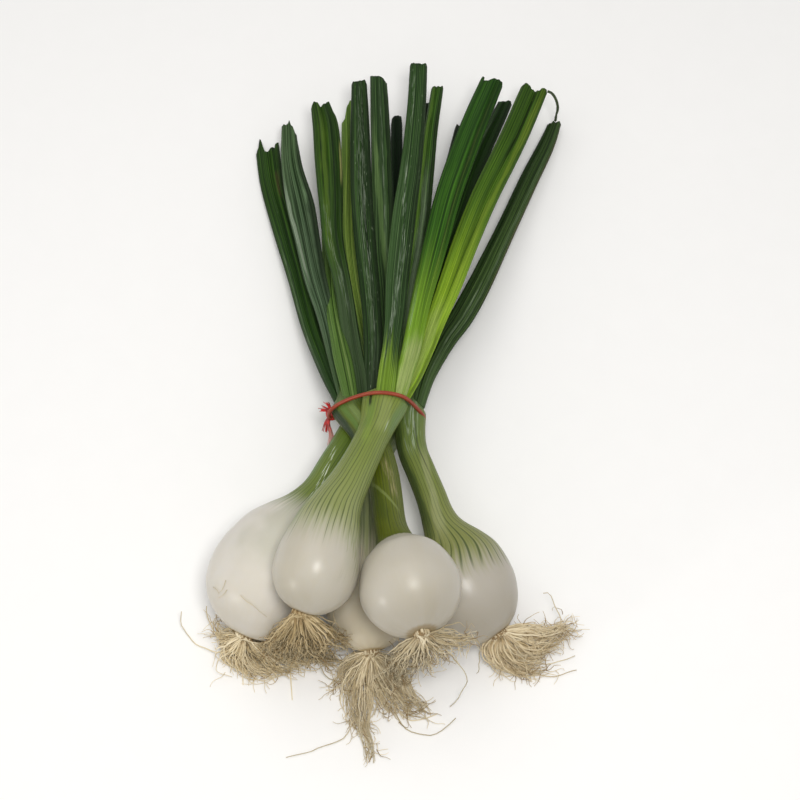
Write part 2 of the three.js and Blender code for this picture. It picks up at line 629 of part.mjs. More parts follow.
// Where a neck crosses the plane of the tie.
function neckOval(onion) {
  const path = curveThrough(onion.path);
  let share = 0.5;
  while (path.getPointAt(share).y < TIE_Y) share += 0.001;
  const past = share * path.getLength() - onion.toEquator;
  const k = onion.girth.findIndex((row) => row[0] > past);
  const [[from, wideFrom, thickFrom], [to, wideTo, thickTo]] = [onion.girth[k - 1], onion.girth[k]];
  const blend = (past - from) / (to - from);
  const centre = path.getPointAt(share);
  const slant = path.getTangentAt(share).y;
  return {
    x: centre.x,
    z: centre.z,
    wide: THREE.MathUtils.lerp(wideFrom, wideTo, blend) / slant,
    thick: THREE.MathUtils.lerp(thickFrom, thickTo, blend),
  };
}

// The tie follows the outside of all the necks: in each direction it lies on the neck that
// stands out furthest.
function tieLine() {
  const ovals = ONIONS.map(neckOval);
  const points = [];
  for (let k = 0; k < TIE_STEPS; k += 1) {
    const angle = (k / TIE_STEPS) * 2 * Math.PI;
    const [nx, nz] = [Math.cos(angle), Math.sin(angle)];
    const reach = (oval) => oval.x * nx + oval.z * nz + Math.hypot(oval.wide * nx, oval.thick * nz);
    const outer = ovals.reduce((best, oval) => (reach(oval) > reach(best) ? oval : best));
    const span = Math.hypot(outer.wide * nx, outer.thick * nz);
    const stand = TIE_RADIUS + FIT_GAP;
    points.push([
      outer.x + (outer.wide ** 2 * nx) / span + nx * stand,
      TIE_Y,
      outer.z + (outer.thick ** 2 * nz) / span + nz * stand,
    ]);
  }
  return new THREE.CatmullRomCurve3(points.map((p) => new THREE.Vector3(...p)), true, 'centripetal');
}

function tieBand(grow = 0) {
  const line = tieLine();
  const geometry = new THREE.TorusGeometry(1, 0.5, TIE_SIDES, TIE_STEPS);
  const position = geometry.getAttribute('position');
  for (let i = 0; i < position.count; i += 1) {
    const ringReach = Math.hypot(position.getX(i), position.getY(i));
    const around = Math.atan2(position.getY(i), position.getX(i)) / (2 * Math.PI);
    const share = Math.round((around < 0 ? around + 1 : around) * TIE_STEPS) / TIE_STEPS;
    const centre = line.getPointAt(share % 1);
    const forward = line.getTangentAt(share % 1);
    const outward = new THREE.Vector3(0, 1, 0).cross(forward).normalize();
    const radius = TIE_RADIUS + grow;
    centre.addScaledVector(outward, -(ringReach - 1) * 2 * radius);
    centre.y += position.getZ(i) * 2 * radius;
    position.setXYZ(i, centre.x, centre.y, centre.z);
  }
  return toSolid(geometry);
}

function tieKnot(grow = 0) {
  const lump = new THREE.SphereGeometry(KNOT.size + grow, 8, 6);
  lump.scale(...KNOT.stretch);
  lump.translate(KNOT.x, TIE_Y, KNOT.z);
  let knot = toSolid(lump);
  KNOT_ENDS.forEach((points) => {
    knot = knot.add(rootSolid(points, KNOT.endBase + grow, KNOT.endTip + grow));
  });
  return knot;
}

// ---------------------------------------------------------------- fitting

// Pieces are fitted from the top of this list down: each one is cut clear of those before it.
function fitted(pieces) {
  pieces.forEach((piece, k) => {
    pieces.slice(0, k).forEach((upper) => {
      if (piece.solid.intersect(upper.grown).volume() > 0) {
        piece.solid = largestBody(piece.solid.subtract(upper.grown));
      }
    });
    piece.solid = largestBody(piece.solid.trimByPlane([0, 0, 1], TABLE_HEIGHT));
  });
  return pieces;
}

function bunchPieces() {
  const pieces = [{
    name: 'tie', colour: 'tie', solid: tieBand().add(tieKnot()), grown: tieBand(FIT_GAP).add(tieKnot(FIT_GAP)),
  }];
  ONIONS.forEach((onion) => {
    onion.leaves.forEach((leaf) => {
      pieces.push({
        name: `${onion.name}_leaf_${leaf.name}`,
        colour: leaf.bright ? 'brightLeaf' : 'leaf',
        solid: leafSolid(leaf),
        grown: leafSolid(leaf, FIT_GAP),
      });
    });
    pieces.push({
      name: `${onion.name}_bulb`, colour: 'bulb', solid: bulbSolid(onion), grown: bulbSolid(onion, FIT_GAP),
    });
  });
  ONIONS.forEach((onion, k) => {
    const seed = 14 + 5 * k;
    pieces.push({
      name: `${onion.name}_roots`,
      colour: 'root',
      solid: rootTuft(onion, seed),
      grown: rootTuft(onion, seed, FIT_GAP),
    });
  });
  return fitted(pieces);
}

const bunch = new THREE.Group();
bunchPieces().forEach(({ name, colour, solid }) => {
  const material = new THREE.MeshStandardMaterial({
    color: COLOURS[colour], roughness: ROUGHNESS[colour], metalness: 0,
  });
  const mesh = new THREE.Mesh(toGeometry(solid), material);
  mesh.name = name;
  bunch.add(mesh);
});
bunch.position.set(-BUNCH_CENTRE.x, -BUNCH_CENTRE.y, -TABLE_HEIGHT);

export default bunch;
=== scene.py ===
# A bunch of five spring onions, tied round the necks and laid on a pale table.
# Lengths in the lists are in millimetres, as in the part's source; Blender works in metres.
import math
import random

import bmesh
import bpy
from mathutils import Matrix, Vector, noise


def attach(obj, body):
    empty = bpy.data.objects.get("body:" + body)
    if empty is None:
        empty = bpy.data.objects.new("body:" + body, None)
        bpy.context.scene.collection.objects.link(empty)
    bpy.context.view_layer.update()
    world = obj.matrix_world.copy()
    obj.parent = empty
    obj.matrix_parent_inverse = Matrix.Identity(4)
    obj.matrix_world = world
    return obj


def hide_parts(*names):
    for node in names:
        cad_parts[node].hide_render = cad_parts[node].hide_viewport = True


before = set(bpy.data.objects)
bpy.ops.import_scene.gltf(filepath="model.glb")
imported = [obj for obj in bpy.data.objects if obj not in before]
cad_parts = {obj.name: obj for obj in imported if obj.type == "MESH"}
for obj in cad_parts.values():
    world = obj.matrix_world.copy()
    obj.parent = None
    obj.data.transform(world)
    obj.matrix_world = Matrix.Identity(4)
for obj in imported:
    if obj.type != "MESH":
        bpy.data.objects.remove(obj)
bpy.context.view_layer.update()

noise.seed_set(1)  # the same curls in the roots each run

# ------------------------------------------------------------------ places and sizes

MM = 0.001
BUNCH_CENTRE = Vector((2.8, 13.0, 0.0))  # the same shift as in the part's source

BULB_SIDES = 72
BULB_ROWS = 120
STEADY_REACH = 15.0  # a bulb's rings face the way its path runs over this far to both sides
ROOT_END_ANGLES = [15, 32, 50, 70, 90]  # degrees from the root end to the equator
NECK_TAPER = [(16, 1.0), (12.5, 0.76), (8.5, 0.46), (0, 0.2)]  # (distance from the end, share of the girth)

LEAF_SIDES = 64
LEAF_ROWS = 84
LEAF_WALL = 0.80  # inside of the cut end as a share of the outside
LEAF_HOLLOW_ROWS = 8

TIE_Y = -7.0
TIE_RADIUS = 1.1
TIE_STAND = 0.35
TIE_STEPS = 160
TIE_BOW = 3.4  # how far the sides of the tie slip towards the bulbs
TIE_RISE = 1.5  # how far its middle slips towards the leaves
TIE_TUCK = (1.2, -2.6)  # how far the left side moves to the right, and the right side

# An onion: radius at the equator, distance from the root end to it, radius of the plate that the
# roots grow from, middle line, and girth past the equator as (distance, half width, half thickness).
ONIONS = {
    "upper_left": {
        "radius": 22.0, "to_equator": 21.8, "plate": 6.5,
        "path": [
            (-38, -134, 72), (-30, -115, 79), (-26, -99, 80), (-21, -81, 77), (-14.6, -66, 73),
            (-9, -52, 68), (-4, -38, 62), (1, -23, 56), (5, -7, 50), (10, 9, 50),
        ],
        "girth": [
            (8, 21.5, 21.5), (16, 19.6, 19.6), (26, 17.2, 17.2), (36, 14.1, 14.1), (51, 11.1, 11),
            (80, 9.1, 9.0), (99, 9.4, 8.6), (116, 12.2, 9), (134, 12.4, 8.4),
        ],
    },
    "upper_right": {
        "radius": 26.3, "to_equator": 25.6, "plate": 7.0,
        "path": [
            (24, -147, 76.5), (18, -122, 75), (12, -101, 70), (8, -84, 63), (6, -67, 57), (4, -51, 52),
            (1, -38, 48.5), (-6, -22, 45), (-15, -7, 42), (-19, 9, 39.5),
        ],
        "girth": [
            (14, 22.2, 22.2), (20, 16.6, 16.6), (26, 11.4, 11.4), (35, 9, 9), (70, 8.6, 8.2),
            (100, 8.6, 8), (122, 9, 8.6), (140, 9.6, 8.4),
        ],
    },
    "left": {
        "radius": 32.6, "to_equator": 30.0, "plate": 8.0,
        "path": [
            (-70, -129, 21), (-57.5, -103.5, 31.6), (-46.5, -85, 37), (-37.5, -68, 39), (-30.5, -55, 38.6),
            (-23.5, -40, 37), (-17, -27, 34), (-11, -15, 31), (-5, -7, 29), (-2, 9, 30),
        ],
        "girth": [
            (8, 32.2, 32.2), (17, 30.4, 30.4), (27, 27.2, 27.2), (36, 21.2, 21.2), (46, 13.8, 13.8),
            (58, 9.7, 9.5), (76, 8.6, 8.4), (96, 8.8, 8), (112, 9.4, 8.4), (136, 9.2, 8.6),
        ],
    },
    "right": {
        "radius": 28.0, "to_equator": 30.0, "plate": 7.5,
        "path": [
            (65, -129, 21), (47, -105, 27.6), (42, -84, 32), (35, -72, 35), (32.4, -65, 36), (29.8, -57, 37),
            (24.6, -43, 37), (20, -30, 36), (18.4, -17, 35), (18.5, -7, 35.5), (21.5, 9, 33),
        ],
        "girth": [
            (7, 27.3, 27.3), (16, 23.8, 23.8), (25, 17.2, 17.2), (34, 11.2, 11.2), (43, 9.0, 9.0),
            (53, 8.3, 8.3), (67, 8.0, 8.0), (88, 8.2, 8.0), (103, 9.0, 8.3), (119, 8.6, 8.4),
        ],
    },
    "middle": {
        "radius": 22.4, "to_equator": 22.5, "plate": 6.5,
        "path": [
            (-2, -137, 17), (-4, -115, 21.8), (-4, -94, 24), (-4, -71, 24), (-4, -47, 23), (0, -26, 21),
            (8.5, -7, 19), (10, 9, 18),
        ],
        "girth": [
            (12, 18.8, 18.8), (19, 13.6, 13.6), (27, 10, 10), (38, 8.6, 8.4), (60, 8.2, 8),
            (90, 8.2, 8), (111, 8.4, 8), (127, 8.6, 8),
        ],
    },
}

# A leaf: middle line, girth as (share of length, half width, half thickness), creases as (place
# across, depth, width), and the outline of its cut end as (place across, height).
LEAVES = {
    "upper_left_leaf_tall": {
        "path": [(5, -6, 56), (6.5, 8, 54), (8, 24, 51), (10, 44, 49), (12, 77, 46), (15, 110, 44),
                 (19, 145, 42), (22, 179, 41), (24, 218, 40)],
        "girth": [(0, 5.4, 2.6), (0.07, 5.4, 2.6), (0.15, 4.9, 2.6), (0.35, 6.5, 2.8),
                 (0.52, 6.8, 2.8), (0.8, 5.7, 2.6), (1, 5.2, 2.4)],
        "creases": [(-0.25, 0.30, 0.16), (0.45, 0.18, 0.12)],
        "edge": [(-1, -1), (-0.85, 0.5), (-0.05, 0), (0.4, 0), (0.85, 1), (1, -1)],
    },
    "upper_left_leaf_wide": {
        "path": [(12.5, -5, 54), (15.5, 8, 53), (19, 24, 51), (23, 46, 49), (28, 70, 47.5),
                 (33.5, 96, 46), (40, 124, 44), (48, 151, 42), (57.5, 180, 40), (67.5, 208, 38)],
        "girth": [(0, 4, 2.4), (0.07, 4.6, 2.4), (0.14, 5.2, 2.6), (0.25, 5.4, 2.6), (0.45, 7, 2.8),
                 (0.72, 7.8, 2.8), (0.88, 7.6, 2.6), (1, 7, 2.4)],
        "creases": [(-0.3, 0.2, 0.2), (0.5, 0.45, 0.12)],
        "edge": [(-1, -3), (-0.9, 1.5), (-0.78, -2), (-0.3, -1.5), (0.1, 1), (0.5, 2), (0.9, 0.5),
                 (1, -2)],
    },
    "upper_left_leaf_bright": {
        "path": [(15, -4, 49.5), (21.5, 11, 47), (27, 27, 44.5), (33.5, 48, 42.5), (42, 73, 41),
                 (51, 100, 39), (61, 128, 37), (73, 156, 35), (82, 178, 33), (94, 210, 31)],
        "girth": [(0, 3.4, 2.2), (0.07, 3.9, 2.4), (0.14, 4.5, 2.4), (0.23, 5.4, 2.6),
                 (0.35, 6.8, 2.8), (0.6, 7.9, 2.8), (0.9, 8.2, 2.6), (1, 8, 2.4)],
        "creases": [(0.15, 0.75, 0.09), (-0.5, 0.2, 0.15)],
        "edge": [(-1, -5), (-0.75, -1.5), (-0.4, -2.5), (-0.15, -5.5), (0.25, -5), (0.5, -4.5),
                 (0.65, -1.5), (0.9, -1.5), (1, -3.5)],
    },
    "upper_right_leaf_outer": {
        "path": [(-20, -1, 38), (-28.5, 23, 30), (-38, 55, 20), (-47.5, 95, 12.5), (-56.5, 131, 6.5),
                 (-63.5, 160, 3.2), (-67, 184, 2.1)],
        "girth": [(0, 3.2, 2.4), (0.13, 4.4, 2.4), (0.3, 5.2, 2.6), (0.52, 6.0, 2.6),
                  (0.72, 7.1, 2.6), (1, 7.2, 2.4)],
        "creases": [(0.1, 0.4, 0.12)],
        "edge": [(-1, -4), (-0.75, 0), (-0.55, 6), (-0.38, -0.5), (-0.25, -3.5), (0, -4), (0.25, -1),
                 (0.5, -1), (0.68, -3), (0.85, 2), (1, 3)],
    },
    "upper_right_leaf_grey": {
        "path": [(-17.5, -1, 42), (-23.5, 28, 35.5), (-28.5, 54, 32), (-35.5, 82, 28),
                 (-40.5, 109, 25), (-45.5, 135, 22), (-51, 162, 20), (-53.5, 191, 18)],
        "girth": [(0, 3.2, 2.2), (0.14, 3.9, 2.4), (0.3, 5.2, 2.5), (0.43, 6.4, 2.6), (0.57, 7.2, 2.6),
                  (0.7, 8.1, 2.6), (0.84, 6.2, 2.5), (1, 4.4, 2.2)],
        "creases": [(-0.45, 0.5, 0.12), (0.35, 0.3, 0.15)],
        "edge": [(-1, -2), (-0.6, -1), (-0.15, -1.5), (0.1, 1.5), (0.3, -1.5), (0.55, -3.5), (1, -11)],
    },
    "upper_right_leaf_short": {
        "path": [(-13.5, -5, 47), (-16.5, 12, 43.5), (-20, 30, 40), (-23, 47, 36), (-25.5, 65, 30),
                 (-27.5, 86, 22), (-29, 114, 15), (-30, 150, 9), (-32, 185, 7)],
        "girth": [(0, 3.8, 2.2), (0.07, 4.6, 2.3), (0.15, 5, 2.4), (0.26, 4.2, 2.3), (0.6, 3.8, 2.3),
                 (1, 3.6, 2.2)],
        "creases": [(0.0, 0.4, 0.2)],
        "edge": [(-1, 0), (0, 1), (1, -1)],
    },
    "left_leaf_broad": {
        "path": [(-8, -3, 35), (-10, 15, 37.5), (-13, 31, 38), (-16, 49, 38), (-20, 75, 37),
                 (-25, 102, 36), (-27, 129, 34), (-29, 158, 32), (-31, 182, 31), (-34, 197, 30)],
        "girth": [(0, 3.6, 2.2), (0.07, 4.8, 2.4), (0.15, 5.0, 2.4), (0.4, 5.0, 2.5), (0.55, 6.0, 2.6),
                  (0.78, 7.9, 2.8), (0.92, 7.6, 2.6), (1, 6.2, 2.4)],
        "creases": [(0.05, 0.5, 0.12), (0.6, 0.3, 0.1)],
        "edge": [(-1, -2), (-0.6, 2), (-0.25, 0), (-0.1, -2.5), (0.4, -1), (0.85, 0.5), (1, -6)],
    },
    "left_leaf_narrow": {
        "path": [(-1.5, 0, 27), (-4, 31, 25), (-9, 57, 23), (-13, 81, 21), (-16, 112, 18),
                 (-17, 140, 16), (-17, 176, 14), (-18, 207, 12)],
        "girth": [(0, 2.6, 2.2), (0.3, 3.6, 2.3), (0.6, 5.0, 2.4), (0.85, 5.0, 2.4), (1, 4.0, 2.2)],
        "creases": [(0.0, 0.4, 0.2)],
        "edge": [(-1, -15), (-0.6, -9.5), (-0.25, -1), (0.25, 4), (0.6, 3), (1, 1)],
    },
    "left_leaf_speckled": {
        "path": [(-2.5, -3, 34.5), (-2.5, 16, 37), (-2, 31, 38), (-2.5, 46, 39), (-4, 68, 39),
                 (-7, 100, 39), (-9, 127, 38), (-10, 161, 37), (-11.5, 211, 35)],
        "girth": [(0, 3.8, 2.2), (0.08, 4.8, 2.4), (0.2, 5.2, 2.5), (0.32, 5.6, 2.6), (0.5, 6.2, 2.7),
                 (0.8, 5.8, 2.6), (1, 4.6, 2.4)],
        "creases": [(0.3, 0.25, 0.15)],
        "edge": [(-1, -4), (-0.8, -2), (-0.35, -2.5), (0.15, -2), (0.8, -1), (1, -4)],
    },
    "right_leaf_far": {
        "path": [(23, -4, 38), (27.5, 13, 37), (33, 27, 35), (40, 42, 32.5), (46.8, 54, 30),
                 (57, 75, 27), (70.5, 108, 21), (80, 132, 16), (89.5, 156, 12), (101.5, 185, 7),
                 (107.5, 203, 5)],
        "girth": [(0, 3.6, 2.4), (0.08, 4.4, 2.5), (0.16, 5.4, 2.6), (0.3, 6.9, 2.7), (0.6, 5.9, 2.6),
                 (0.85, 5.4, 2.5), (1, 4, 2.3)],
        "creases": [(-0.5, 0.35, 0.12)],
        "edge": [(-1, -7), (-0.5, -5), (-0.2, -3.5), (0.2, -4.5), (0.6, -2), (1, -3.5)],
    },
    "right_leaf_dark": {
        "path": [(22, 0, 31), (26, 34, 29), (31, 68, 26), (38, 95, 23), (46, 123, 20), (54, 151, 18),
                 (62, 174, 16), (70, 194, 14.5), (78, 213, 13)],
        "girth": [(0, 2.6, 2.1), (0.2, 3.4, 2.3), (0.4, 4.6, 2.5), (0.6, 5.2, 2.5), (0.85, 5.2, 2.5),
                  (1, 4.2, 2.3)],
        "creases": [(0.1, 0.35, 0.15)],
        "edge": [(-1, -6), (-0.3, -5), (0.1, -4), (0.7, -2.5), (1, -4.5)],
    },
    "right_leaf_back": {
        "path": [(19.5, 0, 27.5), (24, 59, 20), (30, 100, 14), (37, 135, 8.5), (43, 168, 4.2),
                 (50, 200, 2.05)],
        "girth": [(0, 2.4, 2.0), (0.3, 3.2, 2.2), (0.6, 4.0, 2.3), (1, 3.2, 2.2)],
        "creases": [(0.0, 0.3, 0.2)],
        "edge": [(-1, -3), (-0.8, 0), (-0.4, -1.5), (1, -1)],
    },
    "middle_leaf_striped": {
        "path": [(6.5, -1, 21.5), (7, 42, 27), (6, 67, 28), (4, 99, 29), (3, 132, 30), (2, 165, 31),
                 (1, 193, 31), (0, 218, 30)],
        "girth": [(0, 2.6, 2.0), (0.2, 4.6, 2.2), (0.45, 6.3, 2.5), (0.8, 5.8, 2.5), (1, 5.0, 2.3)],
        "creases": [(-0.2, 0.3, 0.12), (0.5, 0.2, 0.12)],
        "edge": [(-1, -1), (-0.65, -2), (-0.05, -2), (0.55, -3.5), (1, -8)],
    },
    "middle_leaf_pale": {
        "path": [(13, -1, 21.5), (17, 56, 25), (20, 81, 26), (25, 113, 27), (28, 146, 28),
                 (31, 177, 29), (35, 208, 29)],
        "girth": [(0, 2.4, 2.0), (0.25, 3.4, 2.2), (0.5, 4.6, 2.4), (0.75, 4.3, 2.4), (1, 3.6, 2.2)],
        "creases": [(-0.3, 0.5, 0.15)],
        "edge": [(-1, 0), (-0.8, 1), (-0.05, 1.5), (0.65, 1.5), (0.85, 3), (1, 1)],
    },
    "middle_leaf_low": {
        "path": [(7, -1, 15.5), (9, 54, 12), (10, 88, 9), (11, 129, 5.5), (11, 171, 3.2), (11, 200, 2.05)],
        "girth": [(0, 2.4, 2.0), (0.3, 3.4, 2.2), (0.6, 3.8, 2.3), (1, 3.4, 2.2)],
        "creases": [(0.0, 0.3, 0.2)],
        "edge": [(-1, 0), (-0.85, 4.5), (-0.1, 6.5), (0.85, 6), (1, 1)],
    },
    "middle_leaf_hidden": {
        "path": [(13, -1, 15.5), (15, 62, 11), (18, 96, 8), (21, 130, 5), (25, 165, 3.4), (28, 194, 2.4),
                 (30, 215, 1.95)],
        "girth": [(0, 2.4, 2.0), (0.3, 3.0, 2.1), (0.6, 3.5, 2.2), (1, 2.9, 2.1)],
        "creases": [(0.0, 0.3, 0.2)],
        "edge": [(-1, 0), (0, 0.5), (1, -0.5)],
    },
}

# ------------------------------------------------------------------ camera, light and table

CAMERA_TARGET = Vector((13, 0, 38))
CAMERA_ELEVATION = math.radians(65)
CAMERA_DISTANCE = 1150.0
CAMERA_LENS = 94.1
CAMERA_SENSOR = 36

ROOM_COLOUR = (1.0, 0.99, 0.97, 1)
ROOM_BRIGHTNESS = 0.47
LAMPS = [
    # name, place and size in metres, power in watts, colour
    ("lamp_by_camera", (0.12, -0.40, 1.15), 0.34, 6.6, (1.0, 0.98, 0.95)),
    ("lamp_low_front", (-0.95, -0.72, 0.24), 0.16, 1.9, (1.0, 0.98, 0.95)),
    ("lamp_overhead", (-0.3, 0.3, 1.3), 1.4, 4.0, (1.0, 0.99, 0.97)),
]


def placed(point):
    """A point of the lists, in the frame's metres."""
    return (Vector(point) - BUNCH_CENTRE) * MM


def set_camera():
    back = Vector((0, -math.cos(CAMERA_ELEVATION), math.sin(CAMERA_ELEVATION)))
    camera = bpy.data.objects.new("camera", bpy.data.cameras.new("camera"))
    camera.data.lens = CAMERA_LENS
    camera.data.sensor_width = CAMERA_SENSOR
    camera.location = placed(CAMERA_TARGET + CAMERA_DISTANCE * back)
    camera.rotation_euler = (math.pi / 2 - CAMERA_ELEVATION, 0, 0)
    bpy.context.scene.collection.objects.link(camera)
    bpy.context.scene.camera = camera


def area_light(name, place, size, power, tint):
    """A round lamp that points at the bunch."""
    light = bpy.data.lights.new(name, "AREA")
    light.shape = "DISK"
    light.size = size
    light.energy = power
    light.color = tint
    lamp = bpy.data.objects.new(name, light)
    lamp.location = Vector(place)
    lamp.rotation_mode = "QUATERNION"
    lamp.rotation_quaternion = (-lamp.location).to_track_quat("-Z", "Y")
    bpy.context.scene.collection.objects.link(lamp)


def set_light():
    world = bpy.data.worlds.new("studio")
    world.use_nodes = True
    background = world.node_tree.nodes["Background"]
    background.inputs["Color"].default_value = ROOM_COLOUR
    background.inputs["Strength"].default_value = ROOM_BRIGHTNESS
    bpy.context.scene.world = world
    bpy.context.scene.view_settings.view_transform = "Standard"
    for lamp in LAMPS:
        area_light(*lamp)


# ------------------------------------------------------------------ lines and tubes

class Line:
    """A smooth line through points: centripetal Catmull-Rom, as in the part's source."""

    def __init__(self, points, steps=24):
        self.points = [Vector(p) for p in points]
        spans = len(self.points) - 1
        self.marks = [self.point(k / (spans * steps)) for k in range(spans * steps + 1)]
        self.lengths = [0.0]
        for before, after in zip(self.marks, self.marks[1:]):
            self.lengths.append(self.lengths[-1] + (after - before).length)
        self.length = self.lengths[-1]

    def point(self, share):
        spans = len(self.points) - 1
        k = min(int(share * spans), spans - 1)
        t = share * spans - k
        p1, p2 = self.points[k], self.points[k + 1]
        p0 = self.points[k - 1] if k > 0 else 2 * p1 - p2
        p3 = self.points[k + 2] if k + 2 <= spans else 2 * p2 - p1
        d0, d1, d2 = [max((b - a).length, 1e-8) ** 0.5 for a, b in ((p0, p1), (p1, p2), (p2, p3))]
        m1 = ((p1 - p0) / d0 - (p2 - p0) / (d0 + d1) + (p2 - p1) / d1) * d1
        m2 = ((p2 - p1) / d1 - (p3 - p1) / (d1 + d2) + (p3 - p2) / d2) * d1
        a = 2 * p1 - 2 * p2 + m1 + m2
        b = -3 * p1 + 3 * p2 - 2 * m1 - m2
        return ((a * t + b) * t + m1) * t + p1

    def at(self, distance):
        """The point a distance along the line, and the line's direction there."""
        low, high = 0, len(self.lengths) - 1
        inside = min(max(distance, 0.0), self.length)
        while high - low > 1:
            middle = (low + high) // 2
            if self.lengths[middle] <= inside:
                low = middle
            else:
                high = middle
        step = self.lengths[high] - self.lengths[low]
        t = (inside - self.lengths[low]) / max(step, 1e-9)
        share = (low + t) / (len(self.marks) - 1)
        near = 0.25 / (len(self.marks) - 1)
        ahead = self.point(min(share + near, 1.0)) - self.point(max(share - near, 0.0))
        forward = ahead.normalized()
        return self.point(share) + forward * (distance - inside), forward


def steady_direction(path, along, reach):
    """The direction of a line, taken over a reach to both sides."""
    return (path.at(along + reach)[0] - path.at(along - reach)[0]).normalized()


def sides_of(forward):
    side = forward.cross(Vector((0, 0, 1))).normalized()
    return side, side.cross(forward)


def smooth_step(low, high, value):
    t = min(max((value - low) / (high - low), 0.0), 1.0)
    return t * t * (3 - 2 * t)


def extruded_ring(bm, edges, reach_ratio, lift):
    """Extrudes a ring of edges of a tube that stands on z, and returns the new ring."""
    grown = bmesh.ops.extrude_edge_only(bm, edges=edges)["geom"]
    verts = [g for g in grown if isinstance(g, bmesh.types.BMVert)]
    fresh = set(verts)
    bmesh.ops.scale(bm, verts=verts, vec=(reach_ratio, reach_ratio, 1))
    bmesh.ops.translate(bm, verts=verts, vec=(0, 0, lift))
    ring = [g for g in grown if isinstance(g, bmesh.types.BMEdge) and fresh.issuperset(g.verts)]
    return verts, ring


def unit_tube(profile, sides):
    """A tube that stands on z, closed at both ends. The profile is (reach from the axis, height)."""
    bm = bmesh.new()
    bmesh.ops.create_circle(bm, cap_ends=True, cap_tris=True, segments=sides, radius=profile[0][0])
    bmesh.ops.translate(bm, verts=bm.verts[:], vec=(0, 0, profile[0][1]))
    ring = [e for e in bm.edges if e.is_boundary]
    verts = []
    for (reach, height), (next_reach, next_height) in zip(profile, profile[1:]):
        verts, ring = extruded_ring(bm, ring, next_reach / reach, next_height - height)
    bmesh.ops.pointmerge(bm, verts=verts, merge_co=Vector((0, 0, profile[-1][1])))
    bmesh.ops.recalc_face_normals(bm, faces=bm.faces[:])
    return bm


def add_flow(bm, along_of):
    """Gives the tube a UV map: u goes once round it, and v is the distance along it in metres."""
    flow = bm.loops.layers.uv.new("flow")
    turn = {v: math.atan2(v.co.y, v.co.x) / (2 * math.pi) % 1.0 for v in bm.verts}
    for face in bm.faces:
        shares = [turn[loop.vert] for loop in face.loops]
        wraps = max(shares) - min(shares) > 0.5
        for loop, share in zip(face.loops, shares):
            loop[flow].uv = (share + (1.0 if wraps and share < 0.5 else 0.0), along_of(loop.vert) * MM)


def on_table(spot):
    """A point, or the point of the table over it if it lies below the table."""
    return Vector((spot.x, spot.y, max(spot.z, 0.0)))


def laid_tube(bm, path, girth, rows, section, end_shift=None, wander=None, reach_at=None):
    """Lays a unit tube along a path. The girth is a line of (distance, half width, half thickness)."""
    sizes = {}
    for height in {v.co.z for v in bm.verts}:
        sizes[height] = girth.point(min(max(round(height, 4) / rows, 0.0), 1.0))
    distances = {v: sizes[v.co.z][0] for v in bm.verts}
    add_flow(bm, lambda vert: distances[vert])
    spots = {}
    for v in bm.verts:
        along, wide, thick = sizes[v.co.z]
        reach = math.hypot(v.co.x, v.co.y)
        angle = math.atan2(v.co.y, v.co.x)
        if end_shift:
            along += end_shift(angle, v.co.z)
        centre, forward = path.at(along)
        if reach_at:
            forward = steady_direction(path, along, reach_at(along))
        side, up = sides_of(forward)
        across, above = section(angle, wide, thick, along)
        if wander:
            centre = centre + wander(along, side, up)
        spots[v] = on_table(placed(centre + side * across * reach + up * above * reach))
    for v, spot in spots.items():
        v.co = spot


def finished_piece(name, bm, material, slot, *nodes):
    bmesh.ops.recalc_face_normals(bm, faces=bm.faces[:])
    mesh = bpy.data.meshes.new(name)
    bm.to_mesh(mesh)
    bm.free()
    mesh.polygons.foreach_set("use_smooth", [True] * len(mesh.polygons))
    mesh.materials.append(material)
    piece = bpy.data.objects.new(name, mesh)
    bpy.context.scene.collection.objects.link(piece)
    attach(piece, "root")
    if nodes:
        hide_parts(*nodes)
    return piece


# ------------------------------------------------------------------ shader nodes

def fill_inputs(tree, made, inputs):
    """Links the inputs that come from other nodes, and sets the rest."""
    for name, value in inputs.items():
        if isinstance(value, bpy.types.NodeSocket):
            tree.links.new(value, made.inputs[name])
        else:
            made.inputs[name].default_value = value


def add_node(tree, kind, inputs=None, **settings):
    made = tree.nodes.new(kind)
    for name, value in settings.items():
        setattr(made, name, value)
    fill_inputs(tree, made, inputs or {})
    return made


def maths(tree, operation, first, second=0.0):
    return add_node(tree, "ShaderNodeMath", {0: first, 1: second}, operation=operation).outputs[0]


def times(tree, first, second):
    return maths(tree, "MULTIPLY", first, second)


def plus(tree, first, second):
    return maths(tree, "ADD", first, second)


def minus(tree, first, second):
    return maths(tree, "SUBTRACT", first, second)


def blended(tree, factor, first, second, way="MIX"):
    return add_node(tree, "ShaderNodeMix", {0: factor, 6: first, 7: second},
                    data_type="RGBA", blend_type=way).outputs[2]


def tinted(tree, factor, surface, tint):
    """The surface colour, multiplied by a tint as far as the factor says."""
    return blended(tree, factor, surface, blended(tree, 1.0, surface, tint, "MULTIPLY"))


def ramped(tree, value, low, high, to_low=0.0, to_high=1.0):
    return add_node(tree, "ShaderNodeMapRange", {
        "Value": value, "From Min": low, "From Max": high, "To Min": to_low, "To Max": to_high,
    }, interpolation_type="SMOOTHSTEP").outputs["Result"]


def colour(red, green, blue, share=1.0):
    return (red * share, green * share, blue * share, 1.0)


def stretched(tree, space, across, along):
    """The flow space, scaled so that a pattern is as fine as across and along say."""
    scale = add_node(tree, "ShaderNodeCombineXYZ", {"X": across, "Y": across, "Z": along}).outputs[0]
    return add_node(tree, "ShaderNodeVectorMath", {0: space, 1: scale}, operation="MULTIPLY").outputs[0]


def cloud(tree, space, across, along, seed, detail, roughness=0.5):
    """Soft noise in the flow space."""
    return add_node(tree, "ShaderNodeTexNoise", {
        "Vector": stretched(tree, space, across, along), "W": seed, "Scale": 1.0, "Detail": detail,
        "Roughness": roughness,
    }, noise_dimensions="4D").outputs[0]


